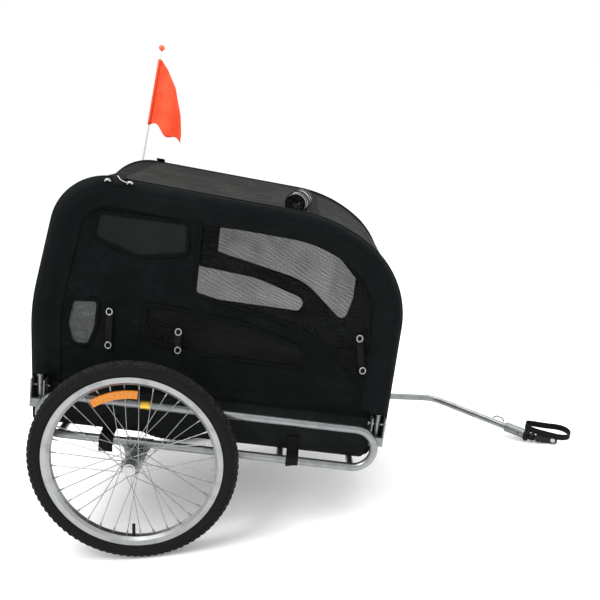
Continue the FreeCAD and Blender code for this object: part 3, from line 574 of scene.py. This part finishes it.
def swept(line, section, side_hint, closed=False, caps=True):
    """A section of (across, out) offsets carried along a line; across is along side_hint."""
    line = np.asarray(line, float)
    along = directions(line, closed)
    hint = np.asarray(side_hint, float)
    hint = np.tile(hint, (len(line), 1)) if hint.ndim == 1 else hint
    out = np.cross(along, hint)
    out /= np.linalg.norm(out, axis=1)[:, None]
    across = np.cross(out, along)
    points = [p + a * u + o * v for p, a, o in zip(line, across, out) for u, v in section]
    count = len(section)
    faces = grid_faces(len(line), count, closed, True)
    if caps and not closed:
        faces.append(tuple(range(count))[::-1])
        faces.append(tuple(range(len(points) - count, len(points))))
    return points, faces


def turn(count):
    """Evenly spaced angles round a whole turn."""
    return np.linspace(0, 2 * math.pi, count + 1)[:-1]


def circle(radius, count=10):
    return [(radius * math.cos(2 * math.pi * k / count), radius * math.sin(2 * math.pi * k / count))
            for k in range(count)]


def flat_band(width, thick):
    """Section of a strap with softened edges."""
    w, t = width / 2, thick / 2
    soft = min(t, 0.6)
    return [(-w, -t + soft), (-w + soft, -t), (w - soft, -t), (w, -t + soft), (w, t - soft), (w - soft, t),
            (-w + soft, t), (-w, t - soft)]


def joined(shapes):
    points, faces = [], []
    for more, theirs in shapes:
        first = len(points)
        points += [tuple(p) for p in more]
        faces += [tuple(i + first for i in f) for f in theirs]
    return points, faces


def block(centre, axes, half):
    """Small six-sided block with a slightly narrower top; axes are three unit vectors."""
    points = []
    for w, shrink in ((-1, 1.0), (1, 0.8)):
        for u, v in ((-1, -1), (1, -1), (1, 1), (-1, 1)):
            along, across = axes[0] * u * half[0] * shrink, axes[1] * v * half[1] * shrink
            points.append(np.asarray(centre) + along + across + axes[2] * w * half[2])
    return points, [(0, 3, 2, 1), (4, 5, 6, 7), (0, 1, 5, 4), (1, 2, 6, 5), (2, 3, 7, 6), (3, 0, 4, 7)]


def stitches(line, out, pitch=5.0, length=3.2, thick=0.45):
    """A row of raised stitches along a 3-D line; out is the direction away from the cloth."""
    line = even(line, pitch, closed=False)
    along = directions(line, False)
    out = np.asarray(out, float)
    shapes = []
    for p, d in zip(line, along):
        across = np.cross(out, d)
        across /= np.linalg.norm(across)
        shapes.append(block(p, (d, across, out), (length / 2, thick, thick)))
    return joined(shapes)


def ripple(x, y, size, seed):
    """Smooth noise from about -1 to 1."""
    return noise.noise(Vector((x / size, y / size, seed * 7.31)))


# ---- wheels ------------------------------------------------------------------------------------
TYRE_TURNS = 144           # steps round the carcass
CARCASS_ROWS = 32          # faces across it
TREAD_DEPTH = 2.2
# each row of tread blocks: lean from the crown in degrees, half length, half width, shift in pitches
TREAD_ROWS = ((-62, 4.2, 3.6, 0.0), (-31, 4.8, 3.9, 0.5), (0, 5.6, 3.0, 0.0), (31, 4.8, 3.9, 0.5),
              (62, 4.2, 3.6, 0.0))
TREAD_PITCHES = 92


def tyre_mesh():
    """Carcass with sidewall ribs and staggered tread blocks; y is outwards from the wheel's middle."""
    crown = WHEEL_R - TYRE_R
    carcass = TYRE_R - TREAD_DEPTH
    turns = TYRE_TURNS
    reach = math.radians(138)
    profile = [(-10.0, 208.0), (-11.2, RIM_EDGE_R + 0.4)]
    steps = CARCASS_ROWS - 4
    for k in range(steps + 1):
        angle = -reach + 2 * reach * k / steps
        rib = 0.35 * math.cos(angle * 22) if abs(angle) > math.radians(62) else 0.0
        profile.append(((carcass + rib) * math.sin(angle), crown + (carcass + rib) * math.cos(angle)))
    profile += [(11.2, RIM_EDGE_R + 0.4), (10.0, 208.0)]
    points = []
    for i in range(turns):
        a = 2 * math.pi * i / turns
        points += [(r * math.cos(a), y, r * math.sin(a)) for y, r in profile]
    shapes = [(points, [f[::-1] for f in grid_faces(turns, len(profile), True, False)])]
    for lean_degrees, half_long, half_wide, shift in TREAD_ROWS:
        lean = math.radians(lean_degrees)
        for i in range(TREAD_PITCHES):
            a = 2 * math.pi * (i + shift) / TREAD_PITCHES
            spoke = np.array((math.cos(a), 0, math.sin(a)))
            round_it = np.array((-math.sin(a), 0, math.cos(a)))
            side = np.array((0, 1.0, 0))
            out = spoke * math.cos(lean) + side * math.sin(lean)
            across = side * math.cos(lean) - spoke * math.sin(lean)
            centre = spoke * crown + out * (TYRE_R - 1.5)
            shapes.append(block(centre, (round_it, across, out), (half_long, half_wide, 1.5)))
    return joined(shapes)


def make_tyres():
    points, faces = tyre_mesh()
    points = np.array(points)
    for name, side in SIDES.items():
        LOOK["tyre_" + name] = rubber("tyre_rubber_" + name, side * WHEEL_Y / 1000)
        moved = points + np.array((0, side * WHEEL_Y, 0))
        piece = add("tread_tyre_" + name, moved, faces, "tyre_" + name, "wheel_" + name, record="tyre")
        smooth = np.zeros(len(piece.data.polygons), bool)
        smooth[:TYRE_TURNS * CARCASS_ROWS] = True
        piece.data.polygons.foreach_set("use_smooth", smooth)
        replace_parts(piece, "tyre_" + name)


# ---- cabin cloth -------------------------------------------------------------------------------
OUTLINE = even(rounded(CABIN), 6.0)
CENTRE = OUTLINE.mean(axis=0)


def outline_part(keep, spare=0):
    """The stretch of the cabin's outline whose points pass a test, with spare points more at both ends."""
    chosen = np.array([keep(x, z) for x, z in OUTLINE])
    start = next(i for i in range(len(chosen)) if chosen[i] and not chosen[i - 1])
    order = [(start + k) % len(chosen) for k in range(len(chosen))]
    count = next((k for k, i in enumerate(order) if not chosen[i]), len(order))
    order = [(start + k) % len(chosen) for k in range(-spare, count + spare)]
    return OUTLINE[order]


def clipped(level, above, step=8.0):
    """The part of the cabin's outline above or below a level, closed by a straight cut."""
    points = []
    for a, b in zip(OUTLINE, np.roll(OUTLINE, -1, axis=0)):
        if (a[1] > level) == above:
            points.append(a)
        if (a[1] > level) != (b[1] > level):
            points.append(a + (b - a) * (level - a[1]) / (b[1] - a[1]))
    points = np.array(points)
    start = int(np.argmax(np.linalg.norm(points - np.roll(points, 1, axis=0), axis=1)))
    points = np.roll(points, -start, axis=0)
    cut = np.linspace(points[-1], points[0], int(np.linalg.norm(points[-1] - points[0]) / step))[1:-1]
    return np.vstack([points, cut])


def inward(line):
    """Unit normals of an open outline stretch, pointing into the cabin."""
    ahead = np.gradient(line, axis=0)
    ahead /= np.linalg.norm(ahead, axis=1)[:, None]
    normal = np.column_stack([ahead[:, 1], -ahead[:, 0]])
    facing = ((CENTRE - line) * normal).sum(axis=1)
    return normal * np.sign(facing.sum())


def make_side_panels():
    outline = clipped(TUB_TOP - 1.0, True)
    holes = {key: even(rounded(corners), 6.0) for key, corners in WINDOWS.items()}
    flat, faces = filled(outline, list(holes.values()), 10.0)
    edge = distance(flat, outline)
    for name, side in SIDES.items():
        points = []
        for (x, z), far in zip(flat, edge):
            loose = min(far / 90.0, 1.0)
            bow = 3.2 * ripple(x, z, 120, 1 + side) + 1.8 * ripple(x + z, z, 45, 2 + side)
            pull = 1.2 * math.sin((x * 0.6 - z) / 17.0) * max(ripple(x, z, 150, 5), 0)
            points.append((x, PANEL_Y - 1.0 + loose * (bow + pull - 1.0), z))
        cut_sheet("side_cloth_" + name, side, points, (outline, flat, faces), "black_cloth", "black_cloth",
                  "side_panel_" + name, CLOTH_T)
    return holes


def make_windows(holes):
    for key, hole in holes.items():
        flat, faces = filled(hole, [], 9.0)
        edge = distance(flat, hole)
        for name, side in SIDES.items():
            slack = 9.0 if key == "low" else 2.5
            size = 40 if key == "low" else 90
            points = [(x, PANEL_Y - 2.2 + min(far / 40, 1.0) * slack * ripple(x, z, size, 9 + side), z)
                      for (x, z), far in zip(flat, edge)]
            look = {"rear": "lined_net", "low": "film"}.get(key, "net")
            cut_sheet(f"net_{key}_{name}", side, points, (hole, flat, faces), look, "mesh", "window_mesh")
            make_binding(key, name, side, hole)


def make_binding(key, name, side, hole):
    """Folded tape sewn round a window, with its stitches."""
    line = np.column_stack([hole[:, 0], np.full(len(hole), PANEL_Y + 0.4), hole[:, 1]])
    section = [(u, v) for v, u in flat_band(9.0, 1.0)]
    tape = swept(line, section, (0, 1, 0), closed=True)
    seam = even(np.vstack([line, line[:1]]), 5.0, closed=False) + np.array((0, 0.9, 0))
    rows = stitches(seam, (0, 1, 0))
    for piece_name, shape, look in (("binding", tape, "black_cloth"), ("window_stitches", rows, "thread")):
        add_side(f"{piece_name}_{key}_{name}", shape, side, look, record="black_cloth")


# section of the sleeve: distance in from the cabin's edge, and y
SLEEVE = ((1.0, 262.9), (3.0, 271.0), (8.0, 279.0), (16.0, 282.4), (25.0, 282.6), (34.0, 279.5),
          (44.0, 272.0), (54.0, 265.5), (63.0, 263.2), (68.0, 262.9))
SLEEVE_END_Z = 166.0
SLEEVE_OUT = 281.0          # just over the hoop, and clear of the flag pole


def make_sleeves():
    """Padded cloth sleeve that hides the hoop, sewn down along both edges."""
    line = outline_part(lambda x, z: z > SLEEVE_END_Z)
    line = even(line, 7.0, closed=False)
    normal = inward(line)
    for name, side in SIDES.items():
        points = []
        for i, (p, n) in enumerate(zip(line, normal)):
            for far, y in SLEEVE:
                swell = max(y - 263.5, 0) / 19.0
                fold = (1.5 * ripple(i * 7.0, far * 1.6, 26, 3 + side)
                        + 1.3 * ripple(i * 7.0, far, 70, 4 + side))
                along = p + n * (far + 0.8 * ripple(i * 7.0, far, 50, 6))
                points.append((along[0], min(y + swell * fold - 0.8 * swell, SLEEVE_OUT), along[1]))
        points, faces = mirrored(points, grid_faces(len(line), len(SLEEVE)), -side)
        points[:, 1] *= -1
        piece = add("hoop_sleeve_" + name, points, faces, "sleeve_cloth", solid=CLOTH_T,
                    record="black_cloth")
        for key, far, lift in (("inner", 65.5, 263.8), ("outer", 3.4, 272.8)):
            place = line + normal * far
            seam = np.column_stack([place[:, 0], np.full(len(line), lift), place[:, 1]])
            add_side(f"sleeve_stitches_{key}_{name}", stitches(seam, (0, 1, 0)), side, "thread",
                     record="black_cloth")


def make_piping():
    edge = outline_part(lambda x, z: z > FLOOR_Z + 6)
    for name, side in SIDES.items():
        line = np.column_stack([edge[:, 0], np.full(len(edge), PANEL_Y - 0.2), edge[:, 1]])
        cord = swept(line, circle(2.6), (0, 1, 0))
        add_side("edge_piping_" + name, cord, side, "piping", record="black_cloth")


WRAP_HALF = PANEL_Y - 2.6
WRAP_STEP = 12.0
LAP = 1.6                  # how far one strip of cloth lies under the next


def wrap_strip(name, keep, looks, record, replaced, sag, half=WRAP_HALF, border=None, body="frame", seed=1,
               lap=0.0):
    """A stretch of the strip of cloth that runs over the cabin from side to side."""
    step = WRAP_STEP
    line = even(outline_part(keep, 1), step, closed=False)
    normal = inward(line)
    columns = int(round(2 * half / step)) + 1
    across = np.linspace(-half, half, columns)
    points = []
    for i, (p, n) in enumerate(zip(line, normal)):
        end = min(i, len(line) - 1 - i) / 3.0
        for y in across:
            slack = 1 - (abs(y) / 260.0) ** 2.2
            crease = 2.2 * ripple(i * step, y, 60, seed) + 1.2 * ripple(i * step, y * 2, 30, seed + 3)
            depth = 1.0 + lap + slack * (sag(p[0], p[1]) + crease * min(end, 1.0))
            points.append((p[0] + n[0] * depth, y, p[1] + n[1] * depth))
    faces = [f[::-1] for f in grid_faces(len(line), columns)]
    indices = None
    if border:
        indices = []
        for i in range(len(line) - 1):
            for j in range(columns - 1):
                near_edge = half - abs(across[j] + step / 2) < border or i * step < border
                indices.append(1 if near_edge else 0)
    piece = add(name, points, faces, looks, body, solid=CLOTH_T, indices=indices, record=record)
    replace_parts(piece, replaced)
    return piece


def roof_sag(x, z):
    """How far the roof hangs below its edges: most of all half way along."""
    if z < 560:
        return 0.0
    return 7.0 + 7.0 * math.sin(math.pi * min(max((x + 70) / 370.0, 0), 1))


def no_sag(x, z):
    return 0.0


def make_wrap():
    wrap_strip("roof_cloth_top", lambda x, z: ROOF_REAR_X <= x <= ROOF_FRONT_X and z > 300,
               "roof_cloth", "roof_cloth", "roof_cover", roof_sag)
    wrap_strip("front_screen_net", lambda x, z: x > ROOF_FRONT_X and z > TUB_TOP,
               ("front_net", "black_cloth"), "mesh", "front_screen", roof_sag, border=34.0, seed=4, lap=LAP)
    for key, keep in (("front", lambda x, z: x > 500 and FLOOR_Z + 2 < z < TUB_TOP),
                      ("rear", lambda x, z: x < -200 and FLOOR_Z + 2 < z < TUB_TOP)):
        wrap_strip("tub_end_" + key, keep, "tub_cloth", "tub_cloth", "tub_walls", no_sag, seed=6)


def make_rear():
    """Rear wall round the zipped door, and the door."""
    wrap_strip("rear_wall_top", lambda x, z: x < ROOF_REAR_X and z > DOOR_TOP + 1,
               "black_cloth", "black_cloth", "rear_panel", roof_sag, seed=7, lap=LAP)
    wrap_strip("rear_wall_low", lambda x, z: x < -200 and TUB_TOP < z < DOOR_LOW - 1,
               "black_cloth", "black_cloth", "rear_panel", no_sag, seed=8, lap=LAP)
    beside_door = outline_part(lambda x, z: x < -200 and DOOR_LOW - 1 <= z <= DOOR_TOP + 1, 1)
    line = even(beside_door, 10.0, closed=False)
    normal = inward(line)
    for name, side in SIDES.items():
        across = np.linspace(DOOR_HALF - 4.0, WRAP_HALF, 8)
        points = [(p[0] + 3.4 * n[0], y, p[1] + 3.4 * n[1]) for p, n in zip(line, normal) for y in across]
        piece = add_side("rear_wall_" + name, (points, grid_faces(len(line), 8)), side, "black_cloth",
                         solid=CLOTH_T, record="black_cloth")
        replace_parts(piece, "rear_panel")
    wrap_strip("rear_door_cloth", lambda x, z: x < -200 and DOOR_LOW <= z <= DOOR_TOP,
               ("net", "black_cloth"), "black_cloth", "rear_door", lambda x, z: 1.0, half=DOOR_HALF - 0.5,
               border=42.0, body="door", seed=9)


def make_tub_sides():
    """Lower side cloth between the rails, down to the floor."""
    outline = clipped(TUB_TOP + 5.0, False)
    flat, faces = filled(outline, [], 10.0)
    edge = distance(flat, outline)
    for name, side in SIDES.items():
        points = []
        for (x, z), far in zip(flat, edge):
            crease = 2.2 * ripple(x, z * 0.5, 55, 11 + side) - 0.8
            points.append((x, PANEL_Y - 2.6 + min(far / 25, 1.0) * crease, z))
        cut_sheet("tub_side_" + name, side, points, (outline, flat, faces), "tub_cloth", "tub_cloth",
                  "tub_walls", CLOTH_T)


# ---- rolled cover, straps, flag ----------------------------------------------------------------
ROLL_TURNS = 3.6
ROLL_OUTER = 25.2
ROLL_INNER = 6.0
ROLL_FLAT = -13.0          # below this the roll is pressed flat by the roof
TIE_R = 27.5


def make_roll():
    """Rolled rain cover: one long spiral of cloth, bound in black at the end."""
    turns, outer, inner = ROLL_TURNS, ROLL_OUTER, ROLL_INNER
    steps, rows = 100, 17
    line = np.array(ROLL_END - ROLL_START)
    length = float(np.linalg.norm(line))
    along = line / length
    side = np.cross(along, (0, 0, 1.0))
    side /= np.linalg.norm(side)
    up = np.cross(side, along)
    points, indices = [], []
    for j in range(rows):
        share = j / (rows - 1)
        centre = np.array(ROLL_START) + line * share
        for i in range(steps):
            angle = 2 * math.pi * turns * i / (steps - 1) + 0.5
            crease = 0.9 * ripple(share * 468, angle * 9, 60, 13) * (i / steps)
            r = inner + (outer - inner) * i / (steps - 1) + crease
            rise = r * math.sin(angle)
            if rise < ROLL_FLAT:
                rise = ROLL_FLAT + (rise - ROLL_FLAT) * 0.1
            points.append(centre + side * r * math.cos(angle) + up * rise)
    for j in range(rows - 1):
        indices += [1 if j == 0 or j == rows - 2 else 0] * (steps - 1)
    piece = add("rolled_cover", points, grid_faces(rows, steps), ("cover_cloth", "piping"), solid=1.6,
                indices=indices, record="cover_cloth")
    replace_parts(piece, "cover_roll")
    ties = []
    for share in (0.22, 0.78):
        centre = np.array(ROLL_START) + line * share
        ring = [centre + side * TIE_R * math.cos(a) + up * max(TIE_R * math.sin(a), ROLL_FLAT - 1.0)
                for a in turn(40)]
        ties.append(swept(ring, flat_band(22.0, 1.6), along, closed=True))
    points, faces = joined(ties)
    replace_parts(add("roll_webbing", points, faces, "webbing", record="webbing"), "roll_ties")


def make_rail_straps():
    for name, side in SIDES.items():
        shapes = []
        for x, width, tail in ((380.0, 30.0, -6.0), (-74.0, 34.0, 12.0)):
            section = flat_band(width, 1.8)
            ring = [(x, LOOP_Y + 11.4 * math.cos(a), LOOP_LOW_Z + 11.4 * math.sin(a))
                    for a in turn(32)]
            shapes.append(swept(ring, section, (1, 0, 0), closed=True))
            hang = [(x, PANEL_Y + 1.6, 78), (x, PANEL_Y + 4, 58), (x, 280, 47),
                    (x, LOOP_Y, LOOP_LOW_Z + 12.4), (x, LOOP_Y + 10.5, LOOP_LOW_Z + 7),
                    (x, LOOP_Y + 12.6, LOOP_LOW_Z - 4), (x + 1, LOOP_Y + 13, LOOP_LOW_Z - 14 - tail)]
            shapes.append(swept(even(hang, 4.0, closed=False), section, (1, 0, 0)))
        piece = add_side("rail_webbing_" + name, joined(shapes), side, "webbing", record="webbing")
        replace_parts(piece, "rail_straps")


# edge of the pennant away from the mast: millimetres down from the mast's tip, and out from the mast
PENNANT_FLY = ((28, 6), (52, 30), (96, 60), (170, 86), (226, 97), (252, 98))


def make_flag():
    """Pennant hanging from the mast by its sleeve, with soft folds."""
    low, high = (Vector(c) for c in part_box("flag_pole"))
    slope = Vector(JOINTS["flag_pole_lift"]["axis"]).normalized()
    tip_point = Vector((high.x, (low.y + high.y) / 2, high.z)) - Vector((3.0, 0, 0.9)) * 0.001
    rows, columns = 40, 24
    down, reach = np.array(PENNANT_FLY, float).T
    forward = slope.cross(Vector((0, -1, 0))).normalized()
    forward = forward if forward.x > 0 else -forward
    points = []
    for i in range(rows):
        v = i / (rows - 1)
        start = 28 + 186 * v
        end_down = 28 + 224 * v ** 0.92
        end_out = float(np.interp(end_down, down, reach))
        for j in range(columns):
            u = j / (columns - 1)
            out = 4.0 + (end_out - 4.0) * u
            drop = start + (end_down - start) * u ** 1.4
            wave = (9.0 * math.sin(u * 5.2 + v * 2.4) * u * (0.35 + v)
                    + 4.0 * math.sin(v * 7.0 + u * 3.0) * u)
            lift = 9.0 * max(v - 0.86, 0) / 0.14 * math.sin(u * 9.0)
            place = tip_point - slope * ((drop - lift) * 0.001) + forward * (out * 0.001)
            points.append(place + Vector((0, wave * 0.001, 0)))
    piece = add("pennant", points, grid_faces(rows, columns), "flag", "flag_staff", Matrix.Identity(4),
                solid=0.5, record="flag_cloth")
    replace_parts(piece, "flag")
    line = [tip_point - slope * (d * 0.001) for d in np.linspace(27, 215, 20)]
    hem_points, faces = swept(np.array([tuple(p) for p in line]), circle(0.0043, 12), (0, 1, 0))
    add("pennant_sleeve", hem_points, faces, "flag", "flag_staff", Matrix.Identity(4), record="flag_cloth")


# tapes on the side cloth: x, top, bottom, forward lean of the bottom, whether both sides have one
SIDE_TAPES = ((-96.0, 352.0, 250.0, 3.0, True), (71.0, 322.0, 258.0, 3.0, False),
              (505.0, 360.0, 262.0, 22.0, False))
TAPE_FACE = PANEL_Y + 3.0
HOOKS_X = (-118.0, -68.0)
TAG_X = 13.0


def make_fittings():
    """Small sewn-on parts: roof loop with its hooks and cord, tapes with rings, and a rail tag."""
    for name, side in SIDES.items():
        face = TAPE_FACE
        loop = [(-93, face, 640), (-93, PANEL_Y + 22, 648), (-92, PANEL_Y + 20, 660),
                (-90, PANEL_Y - 6, 671)]
        cloths = [swept(even(loop, 4.0, closed=False), flat_band(24.0, 1.6), (1, 0, 0))]
        metals = []
        for x in HOOKS_X:
            hook = [(x - 6, PANEL_Y + 19, 651), (x - 2, PANEL_Y + 23, 657), (x + 4, PANEL_Y + 23, 657),
                    (x + 8, PANEL_Y + 20, 653)]
            metals.append(swept(even(hook, 3.0, closed=False), circle(2.6, 8), (0, 0, 1)))
        cord = [(-96, PANEL_Y + 18, 668), (-88, PANEL_Y + 23, 660), (-78, PANEL_Y + 23, 656),
                (-68, PANEL_Y + 22, 656)]
        metals.append(swept(even(cord, 3.0, closed=False), circle(1.1, 8), (0, 0, 1)))
        for x, top, low, lean, both in SIDE_TAPES:
            if name == "left" and not both:
                continue
            hang = [(x, face, top), (x + lean / 3, face + 3, (top + low) / 2), (x + lean, face + 1, low)]
            cloths.append(swept(even(hang, 6.0, closed=False), flat_band(16.0, 1.4), (1, 0, 0)))
            for z, shift in ((top - 8, 0.0), (low + 10, lean * 0.85)):
                ring = [(x + shift + 7 * math.cos(a), face + 4.5, z + 8 * math.sin(a)) for a in turn(24)]
                metals.append(swept(ring, circle(1.5, 8), (0, 1, 0), closed=True))
        add_side("sewn_tapes_" + name, joined(cloths), side, "webbing", record="black_cloth")
        add_side("tape_rings_" + name, joined(metals), side, "steel", record="black_cloth")
        tag_r = TUBE_R + 0.7
        wrap = [(TAG_X, LOOP_Y + tag_r * math.cos(a), LOOP_TOP_Z + tag_r * math.sin(a))
                for a in np.linspace(-1.4, 1.9, 18)]
        tag = swept(wrap, flat_band(24.0, 0.8), (1, 0, 0))
        add_side("rail_tag_" + name, tag, side, "brass", record="black_cloth")


def make_safety_strap():
    """Flat webbing loop from the drawbar's end round the front of the hitch."""
    route = [(-15, 33, 27), (30, 44, 28), (72, 56, 29), (98, 42, 29), (105, 8, 28), (84, -17, 27),
             (40, -22, 27), (2, -17, 27), (-18, -2, 27), (-22, 14, 27)]
    line = smooth_loop(route, 5)
    points, faces = swept(line, flat_band(18.0, 2.2), (0, 0, 1), closed=True)
    piece = add("safety_strap", points, faces, "webbing", "drawbar_arm", KNUCKLE, record="webbing")
    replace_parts(piece, "strap_loop")


def smooth_loop(route, per_run):
    """Closed Catmull-Rom line through a few points."""
    route = np.asarray(route, float)
    count = len(route)
    line = []
    for i in range(count):
        a, b, c, d = (route[(i + k - 1) % count] for k in range(4))
        for step in range(per_run):
            t = step / per_run
            line.append(0.5 * (2 * b + (c - a) * t + (2 * a - 5 * b + 4 * c - d) * t ** 2
                               + (3 * b - a - 3 * c + d) * t ** 3))
    return np.array(line)


# ---- carried-over parts ------------------------------------------------------------------------
# look: how the names of its CAD nodes start; the longest start that fits a name counts
FINISH = {
    "tube": ("side_loop", "cross_tubes", "hoop_", "top_bars", "drawbar"),
    "zinc": ("axle_bracket", "foot_brackets", "drawbar_brackets", "collar", "strap_clip"),
    "steel": ("axle_left", "axle_right", "axle_button", "axle_clips", "foot_pins", "pole_ferrule",
              "drawbar_bolts", "hitch_pin", "pin_clip"),
    "rim": ("rim_",), "spoke": ("spokes_",), "hub": ("hub_", "bearings_"), "amber": ("spoke_reflector",),
    "black_rubber": ("inner_tube", "coupler_"), "pole": ("flag_pole",), "orange_plastic": ("pole_ball",),
    "black_plastic": ("foot_plugs", "flag_holder", "catch_knob", "tongue"), "board": ("floor_board",),
}


def finish_nodes():
    starts = sorted(((start, look) for look, names in FINISH.items() for start in names),
                    key=lambda pair: -len(pair[0]))
    for name, node in frame["nodes"].items():
        look = next((look for start, look in starts if name.startswith(start)), None)
        if look:
            for slot in node.material_slots:
                slot.material = LOOK[look]


def make_floor():
    mesh = bpy.data.meshes.new("floor")
    mesh.from_pydata([(-14, -14, 0), (14, -14, 0), (14, 14, 0), (-14, 14, 0)], [], [(0, 1, 2, 3)])
    floor = bpy.data.objects.new("floor", mesh)
    bpy.context.scene.collection.objects.link(floor)
    paint = Paint("floor_paper", (0.93, 0.93, 0.93), 0.9)
    paint.colour(paint.blend(paint.noise(0.4), (0.93, 0.93, 0.93), (0.95, 0.95, 0.95)))
    paint.shader.inputs["Specular IOR Level"].default_value = 0.0
    paint.shader.inputs["Emission Color"].default_value = (1.0, 1.0, 1.0, 1.0)
    paint.shader.inputs["Emission Strength"].default_value = 0.10
    mesh.materials.append(paint.material)


make_camera()
make_studio()
make_floor()
finish_nodes()
make_tyres()
WINDOW_LOOPS = make_side_panels()
make_windows(WINDOW_LOOPS)
make_sleeves()
make_piping()
make_wrap()
make_rear()
make_tub_sides()
make_roll()
make_rail_straps()
make_flag()
make_fittings()
make_safety_strap()
